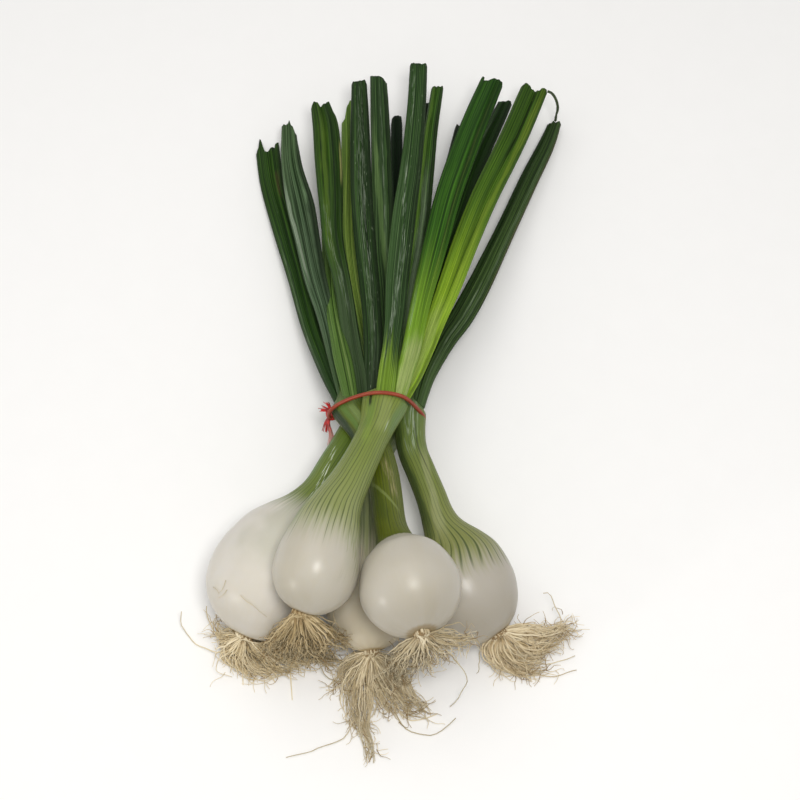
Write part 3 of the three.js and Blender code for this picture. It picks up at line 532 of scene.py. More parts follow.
def chance(tree, number):
    """A random value for each whole number."""
    return add_node(tree, "ShaderNodeTexWhiteNoise", {"W": number}, noise_dimensions="1D").outputs["Value"]


def new_group(name, inputs, outputs):
    """A node group with float inputs as (name, value), or (name, None) for a vector."""
    group = bpy.data.node_groups.new(name, "ShaderNodeTree")
    for socket, value in inputs:
        kind = "NodeSocketVector" if value is None else "NodeSocketFloat"
        made = group.interface.new_socket(socket, in_out="INPUT", socket_type=kind)
        if value is not None:
            made.default_value = value
    for socket, kind in outputs:
        group.interface.new_socket(socket, in_out="OUTPUT", socket_type=kind)
    return group, group.nodes.new("NodeGroupInput").outputs, group.nodes.new("NodeGroupOutput").inputs


def use_group(tree, group, inputs):
    return add_node(tree, "ShaderNodeGroup", inputs, node_tree=group).outputs


def flow_space_group():
    """Turns the flow map into a space with no seam: once round a circle, and the distance along."""
    group, given, out = new_group("flow_space", [("Flow", None)], [
        ("Space", "NodeSocketVector"), ("Around", "NodeSocketFloat"), ("Along", "NodeSocketFloat"),
    ])
    parts = add_node(group, "ShaderNodeSeparateXYZ", {"Vector": given["Flow"]}).outputs
    turn = times(group, parts["X"], 2 * math.pi)
    space = add_node(group, "ShaderNodeCombineXYZ", {
        "X": maths(group, "COSINE", turn), "Y": maths(group, "SINE", turn), "Z": parts["Y"],
    })
    group.links.new(space.outputs[0], out["Space"])
    group.links.new(parts["X"], out["Around"])
    group.links.new(parts["Y"], out["Along"])
    return group


def streaks_group():
    """Long soft streaks that run with the piece."""
    group, given, out = new_group("long_streaks", [
        ("Space", None), ("Across", 6.0), ("Along", 8.0), ("Seed", 0.0), ("Low", 0.4), ("High", 0.6),
    ], [("Mask", "NodeSocketFloat")])
    soft = cloud(group, given["Space"], given["Across"], given["Along"], given["Seed"], 3.0, 0.6)
    group.links.new(ramped(group, soft, given["Low"], given["High"]), out["Mask"])
    return group


VEIN_WAVER = 1.6  # how far a vein strays sideways, in spaces between veins
VEIN_THINNEST = 0.45  # widths of the veins, as shares of Width, start here
VEIN_WIDTH_RANGE = 0.9
VEIN_CORE = 0.25  # share of its width in which a vein is at its darkest


def veins_group():
    """Thin lines along the neck, evenly spread round it, that each end at their own height."""
    group, given, out = new_group("vein_lines", [
        ("Space", None), ("Around", 0.0), ("Along", 0.0), ("Count", 30.0), ("Width", 0.2),
        ("Start", 0.03), ("Spread", 0.01), ("Fade", 0.012), ("Seed", 0.0),
    ], [("Mask", "NodeSocketFloat")])
    waver = cloud(group, given["Space"], 1.3, 18.0, given["Seed"], 2.0)
    shifted = plus(group, times(group, given["Around"], given["Count"]), times(group, waver, VEIN_WAVER))
    number = maths(group, "MODULO", maths(group, "FLOOR", shifted), given["Count"])
    offset = maths(group, "ABSOLUTE", minus(group, maths(group, "FRACT", shifted), 0.5))
    draw = chance(group, plus(group, number, given["Seed"]))
    width = plus(group, times(group, draw, VEIN_WIDTH_RANGE), VEIN_THINNEST)
    width = times(group, given["Width"], width)
    line = ramped(group, offset, times(group, width, VEIN_CORE), width, 1.0, 0.0)
    begins = plus(group, given["Start"], times(group, draw, given["Spread"]))
    faded = ramped(group, given["Along"], begins, plus(group, begins, given["Fade"]))
    group.links.new(times(group, line, faded), out["Mask"])
    return group


def specks_group():
    """Small pale specks, drawn out along the leaf and gathered into patches."""
    group, given, out = new_group("pale_specks", [
        ("Space", None), ("Across", 9.0), ("Along", 420.0), ("Amount", 0.5), ("Seed", 0.0),
    ], [("Mask", "NodeSocketFloat")])
    cells = add_node(group, "ShaderNodeTexVoronoi", {
        "Vector": stretched(group, given["Space"], given["Across"], given["Along"]), "W": given["Seed"],
        "Scale": 1.0, "Randomness": 1.0,
    }, voronoi_dimensions="4D").outputs["Distance"]
    dots = ramped(group, cells, 0.12, 0.30, 1.0, 0.0)
    patches = cloud(group, given["Space"], 1.6, 34.0, given["Seed"], 3.0, 0.65)
    edge = minus(group, 0.72, times(group, given["Amount"], 0.3))
    gathered = ramped(group, patches, edge, plus(group, edge, 0.1))
    group.links.new(times(group, dots, gathered), out["Mask"])
    return group


BAND_SWAY = 1.6  # how far the sides of a band stray, in half widths
BAND_CORE = 0.35  # share of its half width in which a band is at its fullest
BAND_RAGGED = 0.01  # how far its ends stray, in metres


def band_group():
    """A band of colour on the upper side: how far along it runs, and where it lies across the piece."""
    group, given, out = new_group("painted_band", [
        ("Space", None), ("Along", 0.0), ("From", 0.0), ("To", 0.1), ("Start", 0.0), ("End", 0.0),
        ("Width", 0.2), ("Fade", 0.003), ("Scratch", 0.0), ("Seed", 0.0),
    ], [("Mask", "NodeSocketFloat")])
    parts = add_node(group, "ShaderNodeSeparateXYZ", {"Vector": given["Space"]}).outputs
    centre = add_node(group, "ShaderNodeMapRange", {
        "Value": given["Along"], "From Min": given["From"], "From Max": given["To"],
        "To Min": given["Start"], "To Max": given["End"],
    }).outputs["Result"]
    waver = minus(group, cloud(group, given["Space"], 1.5, 60.0, given["Seed"], 2.0), 0.5)
    sway = times(group, waver, times(group, given["Width"], BAND_SWAY))
    away = maths(group, "ABSOLUTE", plus(group, minus(group, parts["X"], centre), sway))
    side = ramped(group, away, times(group, given["Width"], BAND_CORE), given["Width"], 1.0, 0.0)
    ragged = plus(group, given["Along"], times(group, waver, BAND_RAGGED))
    begun = ramped(group, ragged, minus(group, given["From"], given["Fade"]),
                   plus(group, given["From"], given["Fade"]))
    left = ramped(group, ragged, minus(group, given["To"], given["Fade"]),
                  plus(group, given["To"], given["Fade"]), 1.0, 0.0)
    upper = ramped(group, parts["Y"], -0.15, 0.15)
    scratches = cloud(group, given["Space"], 20.0, 80.0, given["Seed"], 2.0, 0.6)
    missing = times(group, given["Scratch"], ramped(group, scratches, 0.53, 0.59, 1.0, 0.0))
    mask = times(group, side, minus(group, 1.0, missing))
    mask = times(group, mask, times(group, begun, left))
    group.links.new(times(group, mask, upper), out["Mask"])
    return group


GROUPS = {
    "space": flow_space_group(), "streaks": streaks_group(), "veins": veins_group(),
    "specks": specks_group(), "band": band_group(),
}


def new_material(name):
    material = bpy.data.materials.new(name)
    material.use_nodes = True
    tree = material.node_tree
    return material, tree, tree.nodes["Principled BSDF"]


def flow_map(tree):
    return add_node(tree, "ShaderNodeUVMap", uv_map="flow").outputs[0]


def flow_of(tree):
    return use_group(tree, GROUPS["space"], {"Flow": flow_map(tree)})


def streaks(tree, flow, seed, kind):
    across, along, shift, low, high = kind
    return use_group(tree, GROUPS["streaks"], {
        "Space": flow["Space"], "Across": across, "Along": along, "Seed": seed + shift,
        "Low": low, "High": high,
    })["Mask"]


def place_on(tree):
    return add_node(tree, "ShaderNodeTexCoord").outputs["Object"]


def grain_of(tree, scale, detail):
    """Fine noise that keeps its place on the piece."""
    return add_node(tree, "ShaderNodeTexNoise", {
        "Vector": place_on(tree), "Scale": scale, "Detail": detail,
    }).outputs[0]


def bumped(tree, shader, height, strength, distance):
    bump = add_node(tree, "ShaderNodeBump", {"Height": height, "Strength": strength, "Distance": distance})
    tree.links.new(bump.outputs[0], shader.inputs["Normal"])


# ------------------------------------------------------------------ materials

PALE = (0.40, 0.45, 0.19)
# painted sheen: pale streaks where light glances along the waxy leaves
PAINTED_SHEEN = (0.30, 0.37, 0.27)
SOFT_GREEN = (0.13, 0.22, 0.07)
YELLOW = (0.40, 0.40, 0.14)
LIME = (0.30, 0.40, 0.04)
WHITE_MARK = (0.52, 0.60, 0.48)
GLEAM = (0.74, 0.80, 0.66)
SHADE = (0.005, 0.014, 0.003)
BROWN = (0.11, 0.075, 0.03)
STRAW = (0.36, 0.31, 0.15)

# How far the fine streaks darken and lighten a leaf's two greens.
FINE_CONTRAST = (0.62, 1.3)
SOFT_CONTRAST = (0.80, 1.1)

# Bands of colour: (from, to) in millimetres along the piece, (start, end) across it from -1 on the
# left to 1 on the right, half width as a share of the piece's, colour, strength, scratchiness.
LEAF_LOOKS = {
    # deep and light are the leaf's two greens, low the colour at its foot, up to low_reach,
    # and tip how much of the colour is left at the cut end
    "upper_left_leaf_tall": dict(
        deep=(0.008, 0.031, 0.004), light=(0.047, 0.101, 0.028), low=(0.204, 0.338, 0.032),
        low_reach=(24, 50), tip=(0.8, 0.9, 0.7), bloom=0.3, specks=0.7,
        bands=[
            (185, 214, -0.45, -0.45, 0.25, WHITE_MARK, 0.45, 1.0),
            (96, 152, 0.25, -0.4, 0.22, WHITE_MARK, 0.5, 1.0),
            (28, 92, -0.45, 0.3, 0.34, WHITE_MARK, 0.5, 1.0), (60, 220, 0.78, 0.8, 0.3, SHADE, 0.6, 0.0),
            (14, 60, 0.75, 0.75, 0.3, SHADE, 0.5, 0.3),
        ],
    ),
    "upper_left_leaf_wide": dict(
        deep=(0.0120, 0.052, 0.0032), light=(0.044, 0.142, 0.009), low=(0.228, 0.420, 0.029),
        low_reach=(38, 118), tip=(0.75, 0.8, 0.9), bloom=0.10, specks=0.15, contrast=SOFT_CONTRAST,
        lines=0.5,
        bands=[
            (60, 225, -0.97, -0.97, 0.14, SHADE, 0.5, 0.0), (-6, 36, -0.1, 0.3, 1.2, PALE, 0.8, 0.25),
            (60, 200, 0.6, 0.55, 0.12, YELLOW, 0.13, 0.4), (110, 225, 0.6, 0.6, 0.35, SHADE, 0.45, 0.1),
            (30, 70, -0.6, -0.7, 0.3, WHITE_MARK, 0.35, 1.0),
        ],
    ),
    "upper_left_leaf_bright": dict(
        deep=(0.030, 0.082, 0.0052), light=(0.088, 0.184, 0.0145), low=(0.33, 0.535, 0.03),
        low_reach=(44, 165), tip=(0.6, 0.65, 0.6), bloom=0.05, specks=0.1, contrast=SOFT_CONTRAST,
        lines=0.5,
        bands=[
            (170, 232, 0.16, 0.32, 0.13, SHADE, 0.75, 0.1), (56, 124, 0.1, 0.3, 0.07, SHADE, 0.6, 0.1),
            (60, 226, 0.55, 0.7, 0.26, LIME, 0.3, 0.2), (-4, 60, -0.3, -0.1, 0.8, PALE, 0.5, 0.3),
            (-4, 50, 0.7, 0.75, 0.3, SHADE, 0.6, 0.1),
        ],
    ),
    "upper_right_leaf_outer": dict(
        deep=(0.0092, 0.038, 0.0026), light=(0.040, 0.102, 0.0116), low=(0.0192, 0.054, 0.0096),
        low_reach=(30, 60), tip=(0.9, 0.9, 0.7), bloom=0.15, specks=0.35,
        bands=[
            (158, 176, 0.4, 0.5, 0.25, BROWN, 0.5, 0.4), (30, 190, 0.85, 0.9, 0.25, SHADE, 0.6, 0.0),
            (20, 120, -0.8, -0.7, 0.2, PAINTED_SHEEN, 0.3, 0.8), (10, 190, -0.97, -0.97, 0.12, SHADE, 0.5, 0.0),
        ],
    ),
    "upper_right_leaf_grey": dict(
        deep=(0.0145, 0.038, 0.0095), light=(0.098, 0.155, 0.085), low=(0.050, 0.100, 0.030),
        low_reach=(25, 60), tip=(1.0, 1.1, 0.85), bloom=0.6, specks=0.25,
        bands=[
            (86, 150, -0.66, -0.88, 0.15, PAINTED_SHEEN, 0.85, 0.2), (70, 190, 0.75, 0.8, 0.5, SHADE, 0.7, 0.0),
        ],
    ),
    "upper_right_leaf_short": dict(
        deep=(0.028, 0.070, 0.009), light=(0.125, 0.230, 0.045), low=(0.105, 0.20, 0.036),
        low_reach=(20, 90), tip=(0.7, 0.8, 0.7), bloom=0.1, specks=0.12,
        bands=[
            (0, 60, -0.1, 0.0, 0.10, SHADE, 0.75, 0.0), (0, 60, 0.6, 0.6, 0.08, SHADE, 0.6, 0.0),
            (0, 60, 0.3, 0.3, 0.12, PALE, 0.28, 0.3),
        ],
    ),
    "left_leaf_broad": dict(
        deep=(0.0095, 0.037, 0.0021), light=(0.035, 0.086, 0.0069), low=(0.049, 0.088, 0.032),
        low_reach=(60, 120), tip=(0.9, 0.9, 0.7), bloom=0.25, specks=0.3,
        bands=[
            (96, 190, -0.35, -0.25, 0.35, (0.09, 0.16, 0.012), 0.6, 0.2),
            (60, 130, 0.1, -0.5, 0.35, WHITE_MARK, 0.32, 1.0),
            (146, 172, 0.9, 0.94, 0.12, YELLOW, 0.6, 0.1), (30, 200, 0.35, 0.4, 0.12, SHADE, 0.6, 0.1),
            (20, 140, 0.95, 0.95, 0.2, SHADE, 0.7, 0.0),
        ],
    ),
    "left_leaf_narrow": dict(
        deep=(0.111, 0.207, 0.030), light=(0.310, 0.443, 0.085), low=(0.119, 0.214, 0.040),
        low_reach=(30, 80), tip=(0.6, 0.7, 0.6), bloom=0.1, specks=0.1,
        bands=[],
    ),
    "left_leaf_speckled": dict(
        deep=(0.0058, 0.024, 0.0026), light=(0.030, 0.070, 0.0145), low=(0.035, 0.062, 0.025),
        low_reach=(20, 50), tip=(0.8, 0.85, 0.8), bloom=0.3, specks=0.8,
        bands=[
            (30, 205, 0.0, 0.05, 0.5, WHITE_MARK, 0.3, 1.0), (20, 212, 0.85, 0.9, 0.3, SHADE, 0.7, 0.0),
            (20, 212, -0.95, -0.95, 0.2, SHADE, 0.5, 0.0),
        ],
    ),
    "right_leaf_far": dict(
        deep=(0.0107, 0.031, 0.004), light=(0.050, 0.093, 0.022), low=(0.064, 0.116, 0.034),
        low_reach=(20, 60), tip=(0.75, 0.85, 0.7), bloom=0.15, specks=0.4,
        bands=[
            (30, 200, 0.5, 0.6, 0.2, PAINTED_SHEEN, 0.22, 0.8), (90, 222, 0.95, 0.95, 0.12, BROWN, 0.4, 0.3),
            (10, 222, -0.95, -0.95, 0.2, SHADE, 0.5, 0.0), (0, 70, -0.4, -0.3, 0.12, SHADE, 0.7, 0.0),
            (0, 90, 0.2, 0.2, 0.12, PAINTED_SHEEN, 0.3, 0.8),
        ],
    ),
    "right_leaf_dark": dict(
        deep=(0.003, 0.0169, 0.0006), light=(0.01, 0.038, 0.0017), low=(0.020, 0.045, 0.01),
        low_reach=(20, 60), tip=(0.9, 0.9, 0.8), bloom=0.1, specks=0.25,
        bands=[
            (30, 215, -0.6, -0.5, 0.2, PAINTED_SHEEN, 0.2, 0.8),
        ],
    ),
    "right_leaf_back": dict(
        deep=(0.0016, 0.0075, 0.0007), light=(0.0048, 0.018, 0.0017), low=(0.020, 0.040, 0.01),
        low_reach=(20, 60), tip=(1.0, 1.0, 1.0), bloom=0.05, specks=0.1,
        bands=[],
    ),
    "middle_leaf_striped": dict(
        deep=(0.0132, 0.039, 0.0087), light=(0.055, 0.112, 0.031), low=(0.050, 0.080, 0.030),
        low_reach=(20, 60), tip=(0.9, 0.95, 0.9), bloom=0.3, specks=0.3,
        bands=[
            (84, 178, 0.05, -0.65, 0.32, SOFT_GREEN, 0.75, 0.15),
            (50, 222, 0.8, 0.7, 0.4, SHADE, 0.75, 0.0), (20, 216, 0.3, 0.1, 0.12, PAINTED_SHEEN, 0.35, 0.9),
        ],
    ),
    "middle_leaf_pale": dict(
        deep=(0.0158, 0.053, 0.0051), light=(0.066, 0.155, 0.0177), low=(0.120, 0.215, 0.065),
        low_reach=(40, 130), tip=(0.85, 0.9, 0.8), bloom=0.2, specks=0.25,
        bands=[
            (80, 212, -0.65, -0.55, 0.34, (0.13, 0.25, 0.035), 0.75, 0.2),
            (60, 212, 0.7, 0.7, 0.4, SHADE, 0.7, 0.0), (50, 150, 0.1, 0.0, 0.6, PAINTED_SHEEN, 0.5, 0.5),
        ],
    ),
    "middle_leaf_low": dict(
        deep=(0.0008, 0.0081, 0.0007), light=(0.0035, 0.021, 0.0026), low=(0.01, 0.020, 0.008),
        low_reach=(20, 60), tip=(1.0, 1.0, 1.0), bloom=0.0, specks=0.05,
        bands=[],
    ),
    "middle_leaf_hidden": dict(
        deep=(0.003, 0.010, 0.002), light=(0.010, 0.022, 0.006), low=(0.012, 0.025, 0.01),
        low_reach=(20, 60), tip=(1.0, 1.0, 1.0), bloom=0.0, specks=0.05,
        bands=[],
    ),
}

# Streaks: how fine they are across and along the piece, what they add to its seed, and the values
# of the noise between which they appear.
LEAF_FINE = (11.0, 5.0, 0.0, 0.41, 0.59)
LEAF_BROAD = (2.1, 7.0, 3.1, 0.36, 0.64)
LEAF_FURROWS = (19.0, 4.0, 5.9, 0.53, 0.60)
LEAF_GLINTS = (21.0, 5.0, 9.1, 0.57, 0.64)
LEAF_FOOT_EDGE = (5.0, 4.0, 7.7, 0.4, 0.6)
LEAF_BLOOM = (2.6, 16.0, 11.3, 0.42, 0.72)
LEAF_MOTTLE = (12.0, 60.0, 13.7, 0.40, 0.62)

WAX = colour(0.15, 0.21, 0.12)
SPECK = colour(0.36, 0.44, 0.30)
# darkens the furrows that the bump sinks: the leaf's own dark lines, with painted shade in them
FURROW_SHADE = colour(0.42, 0.48, 0.40)
# lightens thin lines along the leaf: its pale veins, with painted glints on them
VEIN_GLINT = colour(2.2, 1.9, 2.2)
DIMMED = colour(0.62, 0.68, 0.60)

LEAF_LINES = 0.85  # strength of furrows and glints
BROAD_STRENGTH = 0.55
BLOOM_STRENGTH = 0.5
MOTTLE_STRENGTH = 0.5
SPECK_STRENGTH = (0.25, 0.45)  # at least this much, and as much more for a leaf full of specks
TIP_START = 0.55  # share of the leaf's length where it starts to turn to the colour of its tip
FOOT_RAGGED = 20  # how far the edge of the foot's colour strays
FOOT_DEEP = 0.68  # the foot's darker streaks, as a share of its colour
SPECK_FINENESS = (10.0, 230.0)
LEAF_ROUGHNESS = 0.40
BROAD_RELIEF = 1.2
BAND_FADE = (0.2, 2.5)  # a band fades over this share of its length, but at least this far
BAND_SEED_STEP = 1.3


def painted_bands(tree, flow, surface, bands, seed):
    """Lays the bands over the surface colour, one after the other."""
    for number, (first, last, start, end, width, paint, strength, scratch) in enumerate(bands):
        mask = use_group(tree, GROUPS["band"], {
            "Space": flow["Space"], "Along": flow["Along"], "From": first * MM, "To": last * MM,
            "Start": start, "End": end, "Width": width, "Scratch": scratch,
            "Fade": max(BAND_FADE[0] * (last - first), BAND_FADE[1]) * MM,
            "Seed": seed + BAND_SEED_STEP * number,
        })["Mask"]
        surface = blended(tree, times(tree, mask, strength), surface, colour(*paint))
    return surface


def leaf_material(name, seed, look):
    material, tree, shader = new_material(f"{name}_finish")
    flow = flow_of(tree)
    along = flow["Along"]
    fine, broad, furrows, glints, edge, bloom, mottle = [streaks(tree, flow, seed, kind) for kind in (
        LEAF_FINE, LEAF_BROAD, LEAF_FURROWS, LEAF_GLINTS, LEAF_FOOT_EDGE, LEAF_BLOOM, LEAF_MOTTLE)]
    lines = look.get("lines", LEAF_LINES)
    darker, lighter = look.get("contrast", FINE_CONTRAST)
    green = blended(tree, fine, colour(*look["deep"], darker), colour(*look["light"], lighter))
    green = blended(tree, times(tree, broad, BROAD_STRENGTH), green, colour(*look["deep"]))
    length = Line(LEAVES[name]["path"]).length
    top = ramped(tree, along, length * TIP_START * MM, length * MM)
    green = tinted(tree, top, green, colour(*look["tip"]))
    low, high = [v * MM for v in look["low_reach"]]
    foot = ramped(tree, plus(tree, along, times(tree, edge, FOOT_RAGGED * MM)), low, high, 1.0, 0.0)
    foot_colour = blended(tree, fine, colour(*look["low"], FOOT_DEEP), colour(*look["low"]))
    green = blended(tree, foot, green, foot_colour)
    bloom = times(tree, bloom, look["bloom"] * BLOOM_STRENGTH)
    green = painted_bands(tree, flow, blended(tree, bloom, green, WAX), look["bands"], seed)
    specks = use_group(tree, GROUPS["specks"], {
        "Space": flow["Space"], "Across": SPECK_FINENESS[0], "Along": SPECK_FINENESS[1],
        "Amount": look["specks"], "Seed": seed + 2.0,
    })["Mask"]
    strength = SPECK_STRENGTH[0] + SPECK_STRENGTH[1] * look["specks"]
    green = blended(tree, times(tree, specks, strength), green, SPECK)
    green = tinted(tree, times(tree, mottle, MOTTLE_STRENGTH), green, DIMMED)
    # painted shade in the leaf's furrows
    green = tinted(tree, times(tree, furrows, lines), green, FURROW_SHADE)
    # painted glints along the pale veins
    green = tinted(tree, times(tree, glints, lines), green, VEIN_GLINT)
    fill_inputs(tree, shader, {
        "Base Color": green, "Roughness": plus(tree, times(tree, bloom, 0.5), LEAF_ROUGHNESS),
        "Specular IOR Level": 0.15,
    })
    ribs = minus(tree, plus(tree, fine, times(tree, broad, BROAD_RELIEF)), furrows)
    bumped(tree, shader, ribs, 0.35, 0.0005)
    return material


# Skin is a bulb's colour, set darker on the upper bulbs and darkest on the right one: partly their own tone,
# partly painted shade.
NECK_LOOKS = {
    # Distances past the equator: start and full are where the green begins and is complete, and the
    # veins, as many as count says, begin from vein_start on, within vein_spread. Ragged is how far
    # the edge of the green strays. The neck turns from pale to deep and ends in the colour of top.
    "upper_left": dict(
        start=8, full=33, ragged=3, pale=(0.28, 0.315, 0.115), deep=(0.20, 0.258, 0.050),
        line=(0.06, 0.09, 0.018), count=38, vein_start=5, vein_spread=13, top=(0.20, 0.28, 0.05),
        skin=(0.51, 0.48, 0.41),
        bands=[
            (78, 108, -0.1, -0.6, 0.32, (0.22, 0.33, 0.04), 0.6, 0.3),
            (92, 114, 0.4, 0.1, 0.4, PALE, 0.35, 0.4), (96, 122, 0.95, 0.9, 0.3, SOFT_GREEN, 0.7, 0.0),
            (90, 115, -0.5, -0.55, 0.3, (0.12, 0.21, 0.025), 0.6, 0.1),
            (108, 120, -0.6, -0.62, 0.09, SHADE, 0.85, 0.0),
            (92, 99, 0.66, 0.62, 0.04, WHITE_MARK, 0.6, 0.0),
            (20, 90, -0.95, -0.95, 0.12, SOFT_GREEN, 0.5, 0.0),
            (0, 24, 0.85, 0.8, 0.3, (0.21, 0.245, 0.09), 0.55, 0.7),
        ],
    ),
    "upper_right": dict(
        start=22, full=24, ragged=1, pale=(0.112, 0.136, 0.008), deep=(0.098, 0.128, 0.004),
        line=(0.035, 0.05, 0.005), count=32, vein_start=20, vein_spread=2, top=(0.05, 0.11, 0.02),
        skin=(0.505, 0.475, 0.41),
        bands=[
            (102, 128, -1.0, -0.9, 0.35, (0.010, 0.030, 0.008), 0.9, 0.0),
            (98, 128, -0.5, -0.4, 0.22, (0.10, 0.19, 0.035), 0.85, 0.2),
            (108, 124, 0.0, 0.05, 0.35, (0.20, 0.29, 0.09), 0.6, 0.1),
            (56, 84, 0.5, 0.15, 0.35, STRAW, 0.7, 0.8),
            (46, 67, 0.6, -0.8, 0.14, (0.22, 0.27, 0.08), 0.6, 0.0),
            (38, 64, -0.3, -0.9, 0.5, (0.03, 0.055, 0.006), 0.4, 0.0),
        ],
    ),
    "left": dict(
        start=33, full=52, ragged=4, pale=(0.18, 0.235, 0.045), deep=(0.10, 0.162, 0.015),
        line=(0.055, 0.095, 0.013), count=34, vein_start=30, vein_spread=12, top=(0.12, 0.20, 0.05),
        skin=(0.66, 0.63, 0.575),
        bands=[
            # painted shade on the shoulder, below the upper left bulb's neck
            (8, 42, 0.2, 0.2, 1.0, (0.43, 0.43, 0.33), 0.5, 0.0),
            (48, 82, 0.05, -0.36, 0.10, GLEAM, 0.85, 1.0), (52, 78, 0.2, -0.2, 0.06, GLEAM, 0.8, 1.0),
            (40, 90, 0.55, 0.5, 0.2, (0.05, 0.09, 0.015), 0.6, 0.1),
            (60, 92, -0.8, -0.9, 0.2, SOFT_GREEN, 0.6, 0.0),
        ],
    ),
    "right": dict(
        start=2, full=27, pale=(0.25, 0.265, 0.085), deep=(0.155, 0.20, 0.034), line=(0.045, 0.075, 0.014),
        count=30, vein_start=-4, vein_spread=10, top=(0.10, 0.17, 0.05), skin=(0.44, 0.41, 0.355),
        bands=[
            (28, 78, -0.4, 0.5, 0.38, (0.34, 0.36, 0.18), 0.7, 0.4),
            (78, 114, 0.0, 0.0, 1.1, (0.09, 0.16, 0.04), 0.6, 0.4),
            (80, 112, -0.1, 0.3, 0.6, WHITE_MARK, 0.55, 1.0),
            (30, 100, -0.8, -0.85, 0.3, (0.03, 0.06, 0.012), 0.75, 0.1),
            (64, 100, 0.35, 0.3, 0.08, SHADE, 0.6, 0.1),
        ],
    ),
    "middle": dict(
        start=20, full=48, pale=(0.20, 0.23, 0.11), deep=(0.11, 0.15, 0.04), line=(0.055, 0.085, 0.018),
        count=32, vein_start=18, vein_spread=8, top=(0.08, 0.14, 0.03), skin=(0.68, 0.62, 0.49),
        bands=[
            (24, 64, -0.1, -0.1, 0.16, PALE, 0.5, 0.2), (24, 64, 0.5, 0.4, 0.14, PALE, 0.4, 0.2),
        ],
    ),
}

SKIN_CLOUDS = (1.3, 30.0, 0.0, 0.35, 0.7)
SKIN_LINES = (22.0, 6.0, 1.7, 0.45, 0.75)
GREEN_EDGE = (12.0, 3.0, 5.1, 0.4, 0.6)
NECK_FINE = (17.0, 5.0, 8.2, 0.35, 0.65)

SKIN_CLOUD = colour(0.92, 0.90, 0.83)
SKIN_ROOT_END = colour(0.66, 0.55, 0.37)
# painted shade: a darker tint on the skin towards the root end
SKIN_LOWER_SHADE = colour(0.84, 0.82, 0.78)
LOWER_SHARE = 0.15  # the root end's shade fades out this share of its height before the equator
FOOT_BAND = 1.1  # width of the brown ring at the roots
GREEN_RAGGED = 6  # how far the edge of the green strays
NECK_RISE = (-8, 45)  # the neck turns from its pale to its deep green between these, past full
NECK_DEEP = 0.8
CROWN = (34, 8)  # the top's colour comes in between these distances from its end
VEIN_WIDTH = 0.17
CLOUD_STRENGTH = 0.5
LINE_STRENGTH = 0.08
NECK_FINE_STRENGTH = 0.4
VEIN_STRENGTH = 0.8
CROWN_STRENGTH = 0.6
SKIN_ROUGHNESS = 0.31
NECK_ROUGHER = 0.14
CLOUD_ROUGHER = 0.06


def bulb_material(name, seed, look):
    material, tree, shader = new_material(f"{name}_skin")
    onion = ONIONS[name]
    equator = onion["to_equator"]
    flow = flow_of(tree)
    along = flow["Along"]
    clouds, faint, edge, fine = [streaks(tree, flow, seed, kind) for kind in (
        SKIN_CLOUDS, SKIN_LINES, GREEN_EDGE, NECK_FINE)]
    skin = tinted(tree, times(tree, clouds, CLOUD_STRENGTH), colour(*look["skin"]), SKIN_CLOUD)
    skin = tinted(tree, times(tree, faint, LINE_STRENGTH), skin, SKIN_CLOUD)
    # painted shade towards the root end
    root_end_shade = ramped(tree, along, -equator * MM, -LOWER_SHARE * equator * MM, 1.0, 0.0)
    foot = ramped(tree, along, -equator * MM, (FOOT_BAND - equator) * MM, 1.0, 0.0)
    skin = tinted(tree, foot, tinted(tree, root_end_shade, skin, SKIN_LOWER_SHADE), SKIN_ROOT_END)
    ragged = plus(tree, along, times(tree, edge, look.get("ragged", GREEN_RAGGED) * MM))
    greened = ramped(tree, ragged, look["start"] * MM, look["full"] * MM)
    rise = ramped(tree, along, (look["full"] + NECK_RISE[0]) * MM, (look["full"] + NECK_RISE[1]) * MM)
    neck = blended(tree, rise, colour(*look["pale"]), colour(*look["deep"]))
    fine = times(tree, fine, NECK_FINE_STRENGTH)
    neck = blended(tree, fine, neck, colour(*look["deep"], NECK_DEEP))
    veins = use_group(tree, GROUPS["veins"], {
        "Space": flow["Space"], "Around": flow["Around"], "Along": along, "Count": look["count"],
        "Width": VEIN_WIDTH, "Start": look["vein_start"] * MM, "Spread": look["vein_spread"] * MM,
        "Seed": seed,
    })["Mask"]
    surface = blended(tree, greened, skin, neck)
    surface = blended(tree, times(tree, veins, VEIN_STRENGTH), surface, colour(*look["line"]))
    length = Line(onion["path"]).length - equator
    crown = ramped(tree, along, (length - CROWN[0]) * MM, (length - CROWN[1]) * MM)
    surface = blended(tree, times(tree, crown, CROWN_STRENGTH), surface, colour(*look["top"]))
    surface = painted_bands(tree, flow, surface, look["bands"], seed)
    rough = plus(tree, times(tree, greened, NECK_ROUGHER), times(tree, clouds, CLOUD_ROUGHER))
    fill_inputs(tree, shader, {
        "Base Color": surface, "Roughness": plus(tree, rough, SKIN_ROUGHNESS), "Specular IOR Level": 0.4,
        "Subsurface Weight": 0.25, "Subsurface Radius": (1.0, 0.8, 0.5), "Subsurface Scale": 0.006,
    })
    bumped(tree, shader, times(tree, minus(tree, fine, veins), greened), 0.4, 0.0005)
    return material


ROOT_DULL = (0.46, 0.37, 0.215)
ROOT_LIGHT = (0.88, 0.785, 0.575)
ROOT_STAIN = colour(0.48, 0.37, 0.19)
ROOT_CROWN = colour(0.26, 0.165, 0.07)
ROOT_ENDS = colour(0.46, 0.41, 0.29)
PLATE_BROWN = colour(0.17, 0.105, 0.045)
ROOT_TONES = {
    "upper_left": (0.81, 0.745, 0.62), "upper_right": (1.0, 1.0, 1.0), "left": (1.55, 1.58, 1.62),
    "right": (1.28, 1.24, 1.24), "middle": (1.05, 1.05, 1.05),
}
ROOT_TONE_MOST = 1.06


